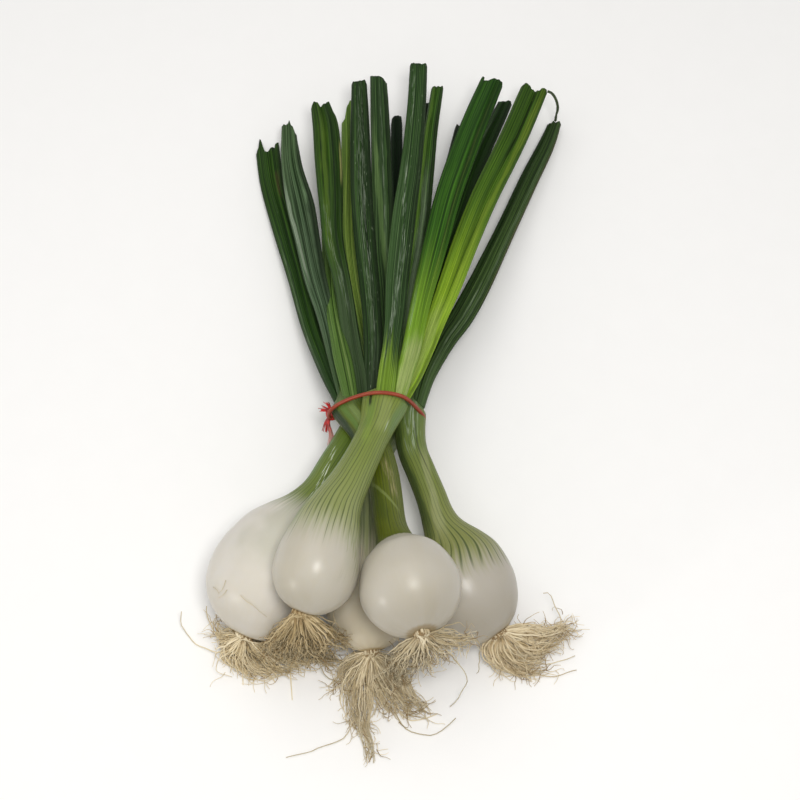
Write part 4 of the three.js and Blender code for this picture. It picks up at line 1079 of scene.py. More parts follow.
def root_material(name, tone):
    """Straw coloured fibres: some brown near the plate, all greyer at the ends. Tone lightens a tuft."""
    material, tree, shader = new_material(f"{name}_root_fibre")
    parts = add_node(tree, "ShaderNodeSeparateXYZ", {"Vector": flow_map(tree)}).outputs
    strand, along = parts["X"], parts["Y"]
    shade = chance(tree, maths(tree, "FLOOR", strand))
    patches = grain_of(tree, 190.0, 4.0)
    dull = colour(*[v * part for v, part in zip(ROOT_DULL, tone)])
    light = colour(*[v * min(part, ROOT_TONE_MOST) for v, part in zip(ROOT_LIGHT, tone)])
    base = blended(tree, shade, dull, light)
    base = blended(tree, ramped(tree, patches, 0.50, 0.70, 0.0, 0.5), base, ROOT_STAIN)
    crown = times(tree, ramped(tree, along, 0.0, 0.014, 0.9, 0.0), ramped(tree, shade, 0.3, 0.6, 1.0, 0.15))
    base = blended(tree, crown, base, ROOT_CROWN)
    base = blended(tree, ramped(tree, along, 0.026, 0.065, 0.0, 0.6), base, ROOT_ENDS)
    base = blended(tree, ramped(tree, along, -0.002, -0.001, 1.0, 0.0), base, PLATE_BROWN)
    fill_inputs(tree, shader, {"Base Color": base, "Roughness": 0.75, "Specular IOR Level": 0.25})
    bumped(tree, shader, patches, 0.3, 0.0004)
    return material


TIE_WORN = (2.0, 120.0, 4.0, 0.4, 0.7)
TIE_TWIST = (0.35, 420.0)
TIE_DARK = colour(0.26, 0.030, 0.010)
TIE_LIGHT = colour(0.38, 0.066, 0.022)


def tie_material():
    material, tree, shader = new_material("tie_rubber")
    flow = flow_of(tree)
    worn = streaks(tree, flow, 0.0, TIE_WORN)
    base = blended(tree, worn, TIE_DARK, TIE_LIGHT)
    fill_inputs(tree, shader, {"Base Color": base, "Roughness": 0.45})
    twist = add_node(tree, "ShaderNodeTexWave", {
        "Vector": stretched(tree, flow["Space"], *TIE_TWIST), "Scale": 1.0,
    }, bands_direction="Z").outputs["Fac"]
    bumped(tree, shader, twist, 0.35, 0.0004)
    return material


KNOT_DARK = colour(0.26, 0.008, 0.008)
KNOT_LIGHT = colour(0.60, 0.026, 0.024)
KNOT_FADED = colour(0.60, 0.40, 0.34)
KNOT_FADE = (-0.026, -0.035)  # its lower end fades between these places on Y


def knot_material():
    material, tree, shader = new_material("knot_thread")
    grain = grain_of(tree, 420.0, 3.0)
    base = blended(tree, ramped(tree, grain, 0.4, 0.62), KNOT_DARK, KNOT_LIGHT)
    place = add_node(tree, "ShaderNodeSeparateXYZ", {"Vector": place_on(tree)}).outputs["Y"]
    base = blended(tree, ramped(tree, place, *KNOT_FADE, 0.0, 0.75), base, KNOT_FADED)
    fill_inputs(tree, shader, {"Base Color": base, "Roughness": 0.4})
    bumped(tree, shader, grain, 0.4, 0.0003)
    return material


def grainy_material(name, grain, dark, light, roughness):
    """A plain finish of two close colours. The grain is (scale, detail)."""
    material, tree, shader = new_material(name)
    base = blended(tree, grain_of(tree, *grain), dark, light)
    fill_inputs(tree, shader, {"Base Color": base, "Roughness": roughness})
    return material


THREAD_FINISH = ("dry_fibre", (300.0, 2.0), colour(0.015, 0.03, 0.008), colour(0.05, 0.075, 0.02), 0.6)
TABLE_FINISH = ("pale_table", (60.0, 3.0), colour(0.93, 0.93, 0.93), colour(0.95, 0.95, 0.95), 0.9)


# ------------------------------------------------------------------ bulbs

LOBE_DEPTH = 0.006  # a bulb is out of round by these shares of its girth
DENT_DEPTH = 0.004
RIBS = 17  # low ribs round the neck, which turn a little on the way up
RIB_DEPTH = 0.010
RIB_TURN = 0.04
RIB_START = (30, 60)  # they come in between these distances past the equator
PUCKERS = 16  # folds round the root end, up to this distance from it
PUCKER_DEPTH = 0.03
PUCKER_REACH = 7
STEADY_END = (25, 60)  # the rings are left to follow the path between these distances past the equator
BULB_TOP = [(0.9, 0.2), (0.8, 1.0), (0.1, 1.2)]  # how the neck closes, as (reach, rows below its end)


def bulb_size(onion):
    """Half width and half thickness by row, from the root end past the equator to the top of the neck."""
    rows = []
    first = math.cos(math.radians(ROOT_END_ANGLES[0]))
    for degrees in ROOT_END_ANGLES:
        angle = math.radians(degrees)
        along = onion["to_equator"] * (1 - math.cos(angle) / first)
        rows.append((along, onion["radius"] * math.sin(angle), onion["radius"] * math.sin(angle)))
    rows += [(onion["to_equator"] + past, wide, thick) for past, wide, thick in onion["girth"]]
    length = Line(onion["path"]).length
    _, wide, thick = rows.pop()
    rows += [(length - before, wide * share, thick * share) for before, share in NECK_TAPER]
    return Line(rows)


def build_bulb(name, seed):
    onion = ONIONS[name]
    profile = [(1.0, float(row)) for row in range(BULB_ROWS + 1)]
    profile += [(reach, BULB_ROWS - sunk) for reach, sunk in BULB_TOP]
    bm = unit_tube(profile, BULB_SIDES)

    def section(angle, wide, thick, along):
        past = along - onion["to_equator"]
        lobes = 1 + LOBE_DEPTH * math.sin(3 * angle + seed) + DENT_DEPTH * math.sin(5 * angle + 2 * seed)
        ribs = 1 + RIB_DEPTH * smooth_step(*RIB_START, past) * math.sin(RIBS * angle + RIB_TURN * along)
        pucker = 1 - PUCKER_DEPTH * smooth_step(PUCKER_REACH, 0, along) * math.cos(PUCKERS * angle)
        grown = lobes * ribs * pucker
        return wide * math.cos(angle) * grown, thick * math.sin(angle) * grown

    def reach_at(along):
        return STEADY_REACH - (STEADY_REACH - 1) * smooth_step(*STEADY_END, along - onion["to_equator"])

    laid_tube(bm, Line(onion["path"]), bulb_size(onion), BULB_ROWS, section, reach_at=reach_at)
    flow = bm.loops.layers.uv["flow"]
    for face in bm.faces:
        for loop in face.loops:
            loop[flow].uv.y -= onion["to_equator"] * MM
    material = bulb_material(name, seed, NECK_LOOKS[name])
    return finished_piece(f"{name}_bulb_skin", bm, material, "bulb", f"{name}_bulb")


# ------------------------------------------------------------------ leaves

CUT_ROWS = 9  # the shape of the cut end fades out over this many rows
UNDER_CUT = (0.7, -0.4)  # the underside follows the cut by this share, this much lower
CUT_ROUGHNESS = 0.5
CREASE_DRIFT = 0.12  # how far a crease strays across the leaf
CREASE_RATE = 0.02
LEAF_SWAY = 0.4  # how far a leaf strays from its middle line, sideways and upwards
LEAF_LIFT = 0.35
SWAY_RATE = 0.022
LIFT_RATE = 0.03
LEAF_FREE = (5, 60)  # it starts to stray between these distances from its foot


def height_at(outline, place):
    """The height of an outline of (place, height) points."""
    for (place_0, height_0), (place_1, height_1) in zip(outline, outline[1:]):
        if place <= place_1:
            return height_0 + (height_1 - height_0) * (place - place_0) / (place_1 - place_0)
    return outline[-1][1]


def leaf_profile():
    """The outside of a leaf, then down the inside of its hollow cut end."""
    profile = [(1.0, float(row)) for row in range(LEAF_ROWS + 1)]
    wall = [LEAF_WALL + 0.1, LEAF_WALL] + [LEAF_WALL - 0.01 * k for k in range(LEAF_HOLLOW_ROWS)]
    depth = [0.0, 0.1] + [0.8 * (k + 1) for k in range(LEAF_HOLLOW_ROWS)]
    profile += [(reach, LEAF_ROWS - sunk) for reach, sunk in zip(wall, depth)]
    return profile + [(0.15, LEAF_ROWS - depth[-1] - 0.4)]


def build_leaf(name, seed, slot):
    leaf = LEAVES[name]
    path = Line(leaf["path"])
    girth = Line([(share * path.length, wide, thick) for share, wide, thick in leaf["girth"]])
    bm = unit_tube(leaf_profile(), LEAF_SIDES)

    def section(angle, wide, thick, along):
        position = math.cos(angle)
        above = thick * math.sin(angle)
        if math.sin(angle) > 0:
            for place, depth, width in leaf["creases"]:
                drift = CREASE_DRIFT * math.sin(along * CREASE_RATE + seed)
                above -= thick * depth * math.exp(-(((position - place - drift) / width) ** 2))
        return wide * position, above

    def end_shift(angle, row):
        near = smooth_step(LEAF_ROWS - CUT_ROWS, LEAF_ROWS, row)
        shift = height_at(leaf["edge"], math.cos(angle))
        if math.sin(angle) < 0:
            shift = UNDER_CUT[0] * shift + UNDER_CUT[1]
        shift += CUT_ROUGHNESS * noise.noise(Vector((math.cos(angle) * 5, math.sin(angle) * 3, seed)))
        return shift * near

    def wander(along, side, up):
        free = smooth_step(*LEAF_FREE, along)
        sway = noise.noise(Vector((along * SWAY_RATE, seed * 3.0, 0))) * LEAF_SWAY
        lift = noise.noise(Vector((along * LIFT_RATE, seed * 3.0, 5))) * LEAF_LIFT
        return side * sway * free + up * lift * free

    laid_tube(bm, path, girth, LEAF_ROWS, section, end_shift, wander)
    return finished_piece(f"{name}_blade", bm, leaf_material(name, seed, LEAF_LOOKS[name]), slot, name)


# ------------------------------------------------------------------ roots

ROOT_LOCKS = {
    # middle lines of the locks, as in the part's source
    "upper_left": [
        [(-40, -134.5, 71), (-43, -137.5, 66), (-49, -140, 54), (-54.5, -139, 36), (-58.5, -137.5, 15),
         (-58, -137.5, 4)],
        [(-38.5, -135, 71), (-40, -138, 65), (-43.5, -140, 48), (-47, -139, 24), (-50, -138.5, 4)],
        [(-38, -135, 71), (-38.5, -139, 63), (-40.5, -141, 44), (-41, -140.5, 18), (-40.5, -140, 3)],
        [(-37, -135, 71), (-35, -138, 65), (-32.5, -140, 53), (-29, -138, 33), (-28.5, -136.5, 12),
         (-31, -138.5, 3)],
        [(-36.5, -134.5, 71), (-32, -137, 66), (-27, -139, 57), (-22.5, -138.5, 44), (-17, -135.5, 28),
         (-13.5, -134, 12)],
        [(-37.5, -135, 70), (-36, -138.5, 54), (-34, -138, 28), (-27, -138.5, 7), (-16.5, -139.5, 2)],
    ],
    "upper_right": [
        [(23, -148, 76), (20, -149, 66), (16.5, -149, 45), (13.5, -149, 22), (11, -150, 5),
         (12.5, -153.5, 2)],
        [(23.5, -148.5, 76), (23, -149.5, 62), (22.5, -149.5, 42), (21.5, -150.5, 24)],
        [(24.5, -148.5, 76), (25.5, -149, 58), (26.5, -150, 40), (28, -151, 28)],
        [(25.5, -147, 76), (29.5, -147, 70), (36.5, -146.5, 64), (43.5, -145.5, 59), (51, -143, 55)],
        [(25, -148, 76), (29.5, -148.5, 66), (33.5, -148, 53), (37, -148.5, 42)],
        [(23, -148, 76), (18, -149.5, 65), (13.5, -148.5, 50), (10.5, -148.5, 30), (8, -149, 9),
         (11, -153, 3)],
    ],
    "left": [
        [(-70, -130, 21), (-76, -130, 12), (-80, -128, 6), (-83, -123, 4), (-84.5, -118.5, 5)],
        [(-70, -130, 21), (-75, -133.5, 10), (-76, -136.5, 4), (-71.5, -140, 1.5), (-64.5, -143.5, 1.5),
         (-58, -145.5, 1.5)],
        [(-69.5, -130, 21), (-70, -134, 9), (-65.5, -138.5, 3), (-57, -143, 1.5), (-46, -144.5, 1.5)],
        [(-69, -130, 21), (-63, -132.5, 11), (-56, -135.5, 4), (-46, -138.5, 2), (-38.5, -139.5, 2)],
        [(-68.5, -129, 21), (-60.5, -129.5, 14), (-53, -131.5, 8), (-43, -135, 4), (-30, -135.5, 2.5),
         (-18, -138, 2)],
        [(-70, -130, 20), (-74, -132.5, 12), (-78, -132.5, 6), (-73, -136.5, 2), (-61, -140, 1.5)],
    ],
    "right": [
        [(64.5, -129, 21), (60, -132, 16), (62, -137, 8), (69, -141.5, 3), (77.5, -144, 1.5),
         (83, -142.5, 1.5)],
        [(65, -130, 21), (62, -133.5, 14), (66.5, -139.5, 6), (73.5, -142.5, 2), (83.5, -144.5, 1.5),
         (93.5, -142, 1.5)],
        [(66, -129, 21), (65.5, -134, 14), (71, -138, 6), (79.5, -140.5, 2), (85.5, -137.5, 2),
         (91.5, -133.5, 3)],
        [(66.5, -128.5, 21), (69.5, -133.5, 14), (75.5, -136.5, 7), (84, -136, 4), (90.5, -132.5, 4),
         (96, -129.5, 4)],
        [(67, -128, 21), (73.5, -131, 15), (80.5, -133, 9), (89, -131, 6), (97, -127, 5),
         (103.5, -122.5, 5)],
        [(68, -127.5, 21), (74.5, -128.5, 17), (82, -129.5, 12), (91, -127, 9), (99, -122.5, 8),
         (107.5, -123, 6)],
        [(68, -127, 21), (75, -126, 19), (82, -125, 16), (88.5, -125.5, 13), (96, -122.5, 11),
         (103, -118.5, 9)],
    ],
    "middle": [
        [(-5, -138, 15), (-11.5, -140, 8), (-16, -143, 3), (-18.5, -149.5, 1.5), (-23.5, -155, 1)],
        [(-4, -138, 14), (-9.5, -145, 5), (-12, -154, 1.5), (-12.5, -165, 1.5), (-10, -173.5, 1.5),
         (-5.5, -175.5, 1.5)],
        [(-3, -138.5, 14), (-5, -146.5, 4), (-5, -157, 1.5), (-5.5, -166, 1.5), (-6.5, -175, 1.5),
         (-3.5, -184, 1.5), (-2.5, -193.5, 1)],
        [(-2.5, -138.5, 14), (-1.5, -146.5, 4), (3, -157.5, 1.5), (8.5, -165.5, 1.5), (11.5, -169, 1.5)],
        [(-2, -138.5, 14), (0.5, -144, 5), (5.5, -152, 2), (11.5, -159.5, 2), (17.5, -165.5, 1.5),
         (21.5, -167.5, 1.5)],
        [(-1, -138, 14), (6, -143.5, 6), (13, -150, 2.5), (20, -159.5, 1.5), (29, -168.5, 1.5)],
        [(-1, -137.5, 14), (7, -141.5, 7), (14, -145, 3), (15.5, -150.5, 1.5), (14, -155.5, 1.5)],
    ],
}

ROOT_STRAYS = {
    # single long roots
    "upper_left": [
        [(-37.5, -135, 70), (-33.5, -139.5, 52), (-31.5, -140, 18), (-24.5, -147.5, 1.5),
         (-16.5, -150, 1.5), (-7.5, -155, 1.5)],
    ],
    "upper_right": [
        [(25.5, -148.5, 75), (31.5, -148.5, 66), (40, -150, 48), (46.5, -153, 30), (47.5, -155, 22),
         (44, -160.5, 8), (39.5, -163.5, 3)],
        [(26.5, -147.5, 75), (38.5, -146, 66), (50, -143.5, 58), (54, -145, 50), (54.5, -149.5, 36),
         (54, -152.5, 22)],
    ],
    "left": [
        [(-72.5, -130, 14), (-82.5, -134, 5), (-92, -131, 2), (-100.5, -125, 1.5), (-105, -119, 4),
         (-105, -112.5, 8)],
        [(-73.5, -130.5, 12), (-80.5, -131, 6), (-86.5, -122.5, 4), (-91, -113.5, 5), (-92, -109, 8)],
        [(-71, -137.5, 2), (-71.5, -144, 1), (-71, -151, 1)],
        [(-46, -142, 2), (-45.5, -148.5, 1), (-44.5, -159.5, 1)],
        [(-75.5, -132, 3), (-77.5, -135, 1), (-80.5, -138.5, 1)],
        [(-61, -142, 1.5), (-56.5, -146, 1), (-54, -149.5, 1)],
    ],
    "right": [
        [(69, -126.5, 20), (82.5, -127, 14), (94.5, -126, 11), (99, -120, 11), (97, -111.5, 12),
         (94.5, -104.5, 14), (90.5, -104.5, 15)],
        [(68, -129.5, 19), (76.5, -139.5, 5), (85.5, -145, 1.5), (96.5, -146, 1.5), (108, -142.5, 1.5)],
        [(68, -129, 20), (80, -134, 8), (91, -139.5, 2), (100, -138.5, 2), (107.5, -135.5, 4)],
    ],
    "middle": [
        [(-6, -142, 8), (-12, -154, 2), (-12.5, -171.5, 1.5), (-17, -180, 1), (-28, -185, 1),
         (-47.5, -191, 1)],
        [(1, -143.5, 6), (8.5, -157, 2), (12, -169.5, 1.5), (17, -176, 1), (29, -178.5, 1),
         (37.5, -175, 1), (43, -169.5, 2)],
        [(-14, -148.5, 2), (-17, -150.5, 1), (-22.5, -153.5, 1), (-26.5, -154, 1)],
        [(12, -166, 1.5), (18.5, -170.5, 1), (26.5, -169.5, 1), (33, -167, 1)],
        [(-2, -190, 1), (-3.5, -193.5, 1)],
    ],
}

LOCK_STRANDS = 38
LOCK_FUZZ = 46
LOCK_SPREAD = 2.2  # standard distance of a root from its lock's middle line
OWN_TUFTS = {"left": (54, 3.2), "right": (36, 1.8)}  # tufts with their own strands to a lock, and spread
PLATE_SHARE = 0.55  # roots start within this share of the plate's radius
PLATE_SIZE = 0.5
PLATE_FLATNESS = 0.42
PLATE_MARK = -0.01  # flow of the plate, which tells its colour from the roots'
HAIR_MARK = 0.07  # flow of the dry hairs, which gives them the colour of root ends
ROOT_SINK = 0.8  # roots start this deep in the plate
ROOT_RISE = 1.8  # and leave it straight for about this far
ROOT_LEAST = 0.5  # they follow at least this share of their lock
ROOT_BENDS = 16
FUZZ_BENDS = 4
FUZZ_STEP = (1.5, 1.7)  # shortest step between its bends, and how much longer one can be
STRAND_SIDES = 4
LONG_ROWS = 24
SHORT_ROWS = 7
STRAND_TAPER = 1.3
STRAND_BASE = (0.26, 0.95)  # thinnest and thickest root at the plate, as a radius
STRAND_TIP = 0.15
STRAY_GIRTH = (0.42, 0.24)  # radii at the base and at the tip
HAIR_GIRTH = (0.2, 0.1)
FUZZ_GIRTH = (0.2, 0.12)
CURL = 3.4
STRAY_CURL = 1.2
CURL_LENGTH = 11.0
KINK = 0.7
KINK_LENGTH = 4.2
ROOT_GAP = 0.5


def unit_strand(rows):
    """One straight strand of unit size, which every root is bent from, and its number of rows."""
    bm = unit_tube([(1.0, float(row)) for row in range(rows + 1)] + [(0.2, rows + 0.1)], STRAND_SIDES)
    mesh = bpy.data.meshes.new("strand")
    bm.to_mesh(mesh)
    bm.free()
    return mesh, rows


LONG_STRAND = unit_strand(LONG_ROWS)
SHORT_STRAND = unit_strand(SHORT_ROWS)


def clear_of_bulbs(point, gap):
    """Moves a point out of any bulb that it is in, and up off the table."""
    for onion in ONIONS.values():
        centre = Vector(onion["path"][1])
        away = point - centre
        radius = onion["radius"] + gap
        if away.length < radius:
            point = centre + away.normalized() * radius
    return Vector((point.x, point.y, max(point.z, gap + ROOT_GAP)))


class Tuft:
    """A mesh that strands are added to. Each has its own number in the flow map."""

    def __init__(self):
        self.bm = bmesh.new()
        self.bm.loops.layers.uv.new("flow")
        self.count = 0

    def add(self, strand, points, base, tip, mark=None):
        """Bends a copy of the strand along points. A mark takes the place of the distance along it."""
        template, rows = strand
        bm = self.bm
        before = len(bm.verts)
        faces_before = len(bm.faces)
        bm.from_mesh(template)
        bm.verts.ensure_lookup_table()
        bm.faces.ensure_lookup_table()
        flow = bm.loops.layers.uv["flow"]
        line = Line(points, steps=3)
        places = {}
        along = {}
        for v in bm.verts[before:]:
            row = round(min(v.co.z, rows))
            if row not in places:
                centre, forward = line.at(row / rows * line.length)
                thick = tip + (base - tip) * (1 - row / rows) ** STRAND_TAPER
                places[row] = (centre, *sides_of(forward), thick)
            centre, side, up, thick = places[row]
            reach = math.hypot(v.co.x, v.co.y)
            angle = math.atan2(v.co.y, v.co.x)
            spot = centre + (side * math.cos(angle) + up * math.sin(angle)) * reach * thick
            along[v] = row / rows * line.length
            v.co = on_table(placed(spot))
        for face in bm.faces[faces_before:]:
            for loop in face.loops:
                loop[flow].uv = (self.count + 0.5, along[loop.vert] * MM if mark is None else mark)
        self.count += 1


def off_line(draw, spread):
    """A step away from a lock's middle line, smaller upwards than sideways."""
    return Vector((draw.gauss(0, 1), draw.gauss(0, 1), 0.5 * abs(draw.gauss(0, 1)))) * spread


def root_points(onion, line, spread, share, curl, draw):
    """A root starts in the plate and follows its lock. It is furthest from it on the way."""
    centre, forward = Line(onion["path"], steps=4).at(0)
    side, up = sides_of(forward)
    ring = onion["plate"] * PLATE_SHARE * math.sqrt(draw.random())
    turn = draw.random() * 2 * math.pi
    outward = side * math.cos(turn) + up * math.sin(turn)
    rise = ROOT_RISE * (0.2 + 0.9 * draw.random())
    points = [centre + forward * ROOT_SINK + outward * ring]
    points.append(centre - forward * rise + outward * (ring + 0.4))
    beside = off_line(draw, spread)
    followed = Line(line, steps=6)
    seed = draw.random() * 100
    for k in range(1, ROOT_BENDS + 1):
        t = k / ROOT_BENDS * share
        spot, _ = followed.at(t * followed.length)
        spot = spot + beside * (math.sin(math.pi * t ** 0.7) + 0.45 * t)
        sway = noise.noise_vector(Vector((t * followed.length / CURL_LENGTH, seed, 0)))
        kink = noise.noise_vector(Vector((t * followed.length / KINK_LENGTH, seed, 9))) * KINK
        bend = sway * curl * (0.25 + t) + kink
        bend.z *= 0.5
        points.append(clear_of_bulbs(spot + bend, ROOT_GAP))
    return points


def fuzz_points(line, spread, draw):
    """A short fine root that winds across its lock."""
    followed = Line(line, steps=6)
    share = 0.25 + 0.72 * draw.random()
    spot, forward = followed.at(share * followed.length)
    spot = spot + off_line(draw, spread)
    heading = (forward + Vector((draw.gauss(0, 0.7), draw.gauss(0, 0.7), draw.gauss(0, 0.2)))).normalized()
    points = []
    for _ in range(FUZZ_BENDS + 1):
        points.append(clear_of_bulbs(spot, ROOT_GAP))
        turned = Vector((draw.gauss(0, 0.5), draw.gauss(0, 0.5), draw.gauss(0, 0.2)))
        heading = (heading + turned).normalized()
        spot = spot + heading * (FUZZ_STEP[0] + FUZZ_STEP[1] * draw.random())
    return points


SKIN_HAIRS = [
    # fine dry roots that cling to the left bulb
    [(-69.5, -120.4, 57.4), (-66.6, -123.3, 56.5), (-62.5, -125.7, 55.6), (-59.4, -128.2, 53.5),
     (-55.9, -130.2, 51.2)],
    [(-77.4, -111.9, 56.7), (-78.4, -114, 55), (-79.3, -115.6, 53.4), (-81.3, -116.7, 50.4)],
    [(-76.8, -116.7, 55), (-79.1, -118.4, 51.9), (-81.9, -118.6, 48)],
    [(-84.8, -112.6, 48), (-82.4, -115, 50.1), (-81.3, -117.2, 50.1)],
]


def add_plate(bm, onion, seed):
    """The brown disc that the roots grow from."""
    centre, forward = Line(onion["path"], steps=4).at(0)
    made = bmesh.ops.create_icosphere(bm, subdivisions=3, radius=onion["plate"] * PLATE_SIZE)["verts"]
    lean = forward.to_track_quat("Z", "Y")
    for v in made:
        rough = 1 + 0.12 * noise.noise(v.co * 0.9 + Vector((seed, 0, 0)))
        flat = Vector((v.co.x * rough, v.co.y * rough, v.co.z * PLATE_FLATNESS * rough))
        v.co = placed(centre + lean @ flat + forward * 0.4)
    flow = bm.loops.layers.uv["flow"]
    for face in bm.faces:
        for loop in face.loops:
            loop[flow].uv = (0.5, PLATE_MARK)


def build_roots(name, seed):
    onion = ONIONS[name]
    draw = random.Random(seed)
    tuft = Tuft()
    add_plate(tuft.bm, onion, seed)
    for line in ROOT_STRAYS[name]:
        points = [clear_of_bulbs(Vector(p), ROOT_GAP) for p in line]
        if len(line) > 4:
            points = root_points(onion, line, 0.0, 1.0, STRAY_CURL, draw)
        tuft.add(LONG_STRAND, points, *STRAY_GIRTH)
    for line in SKIN_HAIRS if name == "left" else []:
        tuft.add(SHORT_STRAND, line, *HAIR_GIRTH, HAIR_MARK)
    count, spread = OWN_TUFTS.get(name, (LOCK_STRANDS, LOCK_SPREAD))
    for line in ROOT_LOCKS[name]:
        for _ in range(count):
            share = ROOT_LEAST + (1 - ROOT_LEAST) * draw.random() ** 0.7
            points = root_points(onion, line, spread, share, CURL, draw)
            base = STRAND_BASE[0] + (STRAND_BASE[1] - STRAND_BASE[0]) * draw.random() ** 3
            tuft.add(LONG_STRAND, points, base, STRAND_TIP)
        for _ in range(LOCK_FUZZ):
            tuft.add(SHORT_STRAND, fuzz_points(line, spread, draw), *FUZZ_GIRTH)
    material = root_material(name, ROOT_TONES[name])
    return finished_piece(f"{name}_root_tuft", tuft.bm, material, "root", f"{name}_roots")


# ------------------------------------------------------------------ tie

TIE_SIDES = 14
TIE_OVERLAP = 1.004  # its end runs a little past its start
TIE_WAVER = 0.4
TIE_WAVER_TURNS = 23


def neck_oval(onion):
    """Where a neck crosses the plane of the tie, as centre and half sizes."""
    path = Line(onion["path"])
    girth = bulb_size(onion)
    distance = path.length * 0.5
    while path.at(distance)[0].y < TIE_Y:
        distance += 0.1
    share = 0.5
    while girth.point(share).x < distance:
        share += 0.001
    centre, forward = path.at(distance)
    _, wide, thick = girth.point(share)
    return centre.x, centre.z, wide / forward.y, thick


def reach_of(oval, nx, nz):
    """How far an oval reaches in a direction."""
    x, z, wide, thick = oval
    return x * nx + z * nz + math.hypot(wide * nx, thick * nz)


def tie_line():
    """The shortest ring round the necks, as they cross the plane of the tie."""
    ovals = [neck_oval(onion) for onion in ONIONS.values()]
    points = []
    for k in range(TIE_STEPS):
        angle = 2 * math.pi * k / TIE_STEPS
        nx, nz = math.cos(angle), math.sin(angle)
        x, z, wide, thick = max(ovals, key=lambda oval: reach_of(oval, nx, nz))
        span = math.hypot(wide * nx, thick * nz)
        stand = TIE_RADIUS + TIE_STAND
        across = x + wide ** 2 * nx / span + nx * stand
        height = z + thick ** 2 * nz / span + nz * stand
        points.append(Vector((across, TIE_Y, height)))
    return points


def build_tie():
    points = tie_line()
    points.append(points[0])
    line = Line(points, steps=2)
    right = max(p.x for p in points)
    left = min(p.x for p in points)
    middle = (right + left) / 2
    half = (right - left) / 2
    rows = TIE_STEPS * 2
    bm = unit_tube([(1.0, float(row)) for row in range(rows + 1)] + [(0.2, rows + 0.01)], TIE_SIDES)
    add_flow(bm, lambda vert: vert.co.z / rows * line.length)
    spots = {}
    for v in bm.verts:
        centre, forward = line.at(min(v.co.z / rows, 1.0) * line.length * TIE_OVERLAP)
        outward = Vector((0, 1, 0)).cross(forward).normalized()
        reach = math.hypot(v.co.x, v.co.y)
        angle = math.atan2(v.co.y, v.co.x)
        offset = (Vector((0, 1, 0)) * math.cos(angle) + outward * math.sin(angle)) * reach * TIE_RADIUS
        bow = min(abs(centre.x - middle) / half, 1.0) ** 2
        waver = TIE_WAVER * math.sin(v.co.z / rows * TIE_WAVER_TURNS)
        centre.y += waver - TIE_BOW * bow + TIE_RISE * (1 - bow)
        centre.x += TIE_TUCK[0 if centre.x < middle else 1] * bow
        spots[v] = placed(centre + offset)
    for v, spot in spots.items():
        v.co = spot
    return finished_piece("tie_band", bm, tie_material(), "tie", "tie")


KNOT = (-24.4, -7.6, 37)
KNOT_ENDS = [
    [KNOT, (-26.9, -6.6, 38), (-30.4, -5.6, 37)],
    [KNOT, (-26.4, -12.6, 36), (-24.9, -18.6, 33), (-25.4, -24.6, 31)],
    [KNOT, (-26.9, -10.6, 33), (-27.9, -14.6, 28)],
    [KNOT, (-25.9, -4.6, 40), (-26.9, -3.6, 41)],
]
KNOT_LOOPS = [
    # radius and axis
    (2.6, (0.2, 0.1, 1.0)), (2.2, (1.0, 0.3, 0.2)), (2.4, (0.3, 1.0, 0.4)), (1.9, (-0.7, 0.6, 0.5)),
]
KNOT_WARP = 0.3  # how far a loop bends out of its plane
KNOT_STRETCH = (0.9, 1.3, 1.1)
KNOT_LOOP_POINTS = 10
KNOT_LOOP_GIRTH = (1.15, 1.05)
KNOT_END_GIRTH = (1.2, 0.5)
KNOT_FRAYS = 7
KNOT_FRAY_GIRTH = (0.5, 0.18)


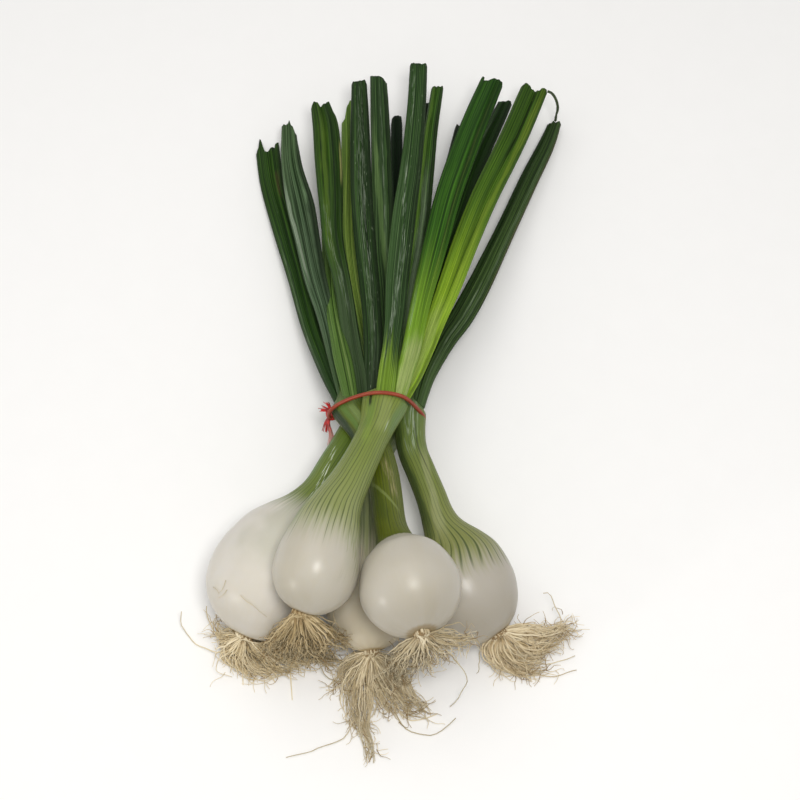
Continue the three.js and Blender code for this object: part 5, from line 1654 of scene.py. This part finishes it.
def build_knot():
    """A small tight knot of crossing loops, with ends that fray."""
    draw = random.Random(8)
    tuft = Tuft()
    for radius, axis in KNOT_LOOPS:
        lean = Vector(axis).to_track_quat("Z", "Y")
        points = []
        for k in range(KNOT_LOOP_POINTS + 1):
            turn = 2 * math.pi * k / KNOT_LOOP_POINTS
            warp = KNOT_WARP * math.sin(2 * turn)
            spot = lean @ Vector((radius * math.cos(turn), radius * math.sin(turn), warp))
            points.append(Vector(KNOT) + Vector([s * more for s, more in zip(spot, KNOT_STRETCH)]))
        tuft.add(LONG_STRAND, points, *KNOT_LOOP_GIRTH)
    for line in KNOT_ENDS:
        tuft.add(LONG_STRAND, line, *KNOT_END_GIRTH)
        for _ in range(KNOT_FRAYS):
            aside = Vector((draw.gauss(0, 1), draw.gauss(0, 1), draw.gauss(0, 0.7)))
            points = []
            for k, p in enumerate(line):
                points.append(Vector(p) + aside * (0.9 * k / (len(line) - 1)) + Vector((0, 0, 0.3)))
            tuft.add(LONG_STRAND, points, *KNOT_FRAY_GIRTH)
    return finished_piece("tie_knot", tuft.bm, knot_material(), "tie", "tie")


LEAF_THREAD = [
    (100.5, 204.5, 33), (103, 203.5, 32.5), (105.5, 201, 30), (107, 198.5, 25), (106.5, 197.5, 18),
    (106.5, 198, 11),
]
LEAF_THREAD_GIRTH = (0.95, 0.8)


def build_leaf_thread():
    """A fibre that peeled off the bright leaf's tip and hangs down to the far leaf."""
    tuft = Tuft()
    tuft.add(LONG_STRAND, LEAF_THREAD, *LEAF_THREAD_GIRTH)
    return finished_piece("leaf_thread", tuft.bm, grainy_material(*THREAD_FINISH), "leaf")


# ------------------------------------------------------------------ making

def set_table():
    bm = bmesh.new()
    bmesh.ops.create_grid(bm, x_segments=2, y_segments=2, size=6.0)
    mesh = bpy.data.meshes.new("table")
    bm.to_mesh(mesh)
    bm.free()
    mesh.materials.append(grainy_material(*TABLE_FINISH))
    table = bpy.data.objects.new("table", mesh)
    bpy.context.scene.collection.objects.link(table)


set_camera()
set_light()
set_table()

BRIGHT_LEAVES = ("upper_left_leaf_bright", "upper_right_leaf_short", "middle_leaf_pale")

for number, name in enumerate(ONIONS):
    build_bulb(name, 3.0 + 7 * number)
for number, name in enumerate(LEAVES):
    build_leaf(name, 1.0 + 5 * number, "bright_leaf" if name in BRIGHT_LEAVES else "leaf")
for number, name in enumerate(ONIONS):
    build_roots(name, 40 + number)
build_tie()
build_knot()
build_leaf_thread()
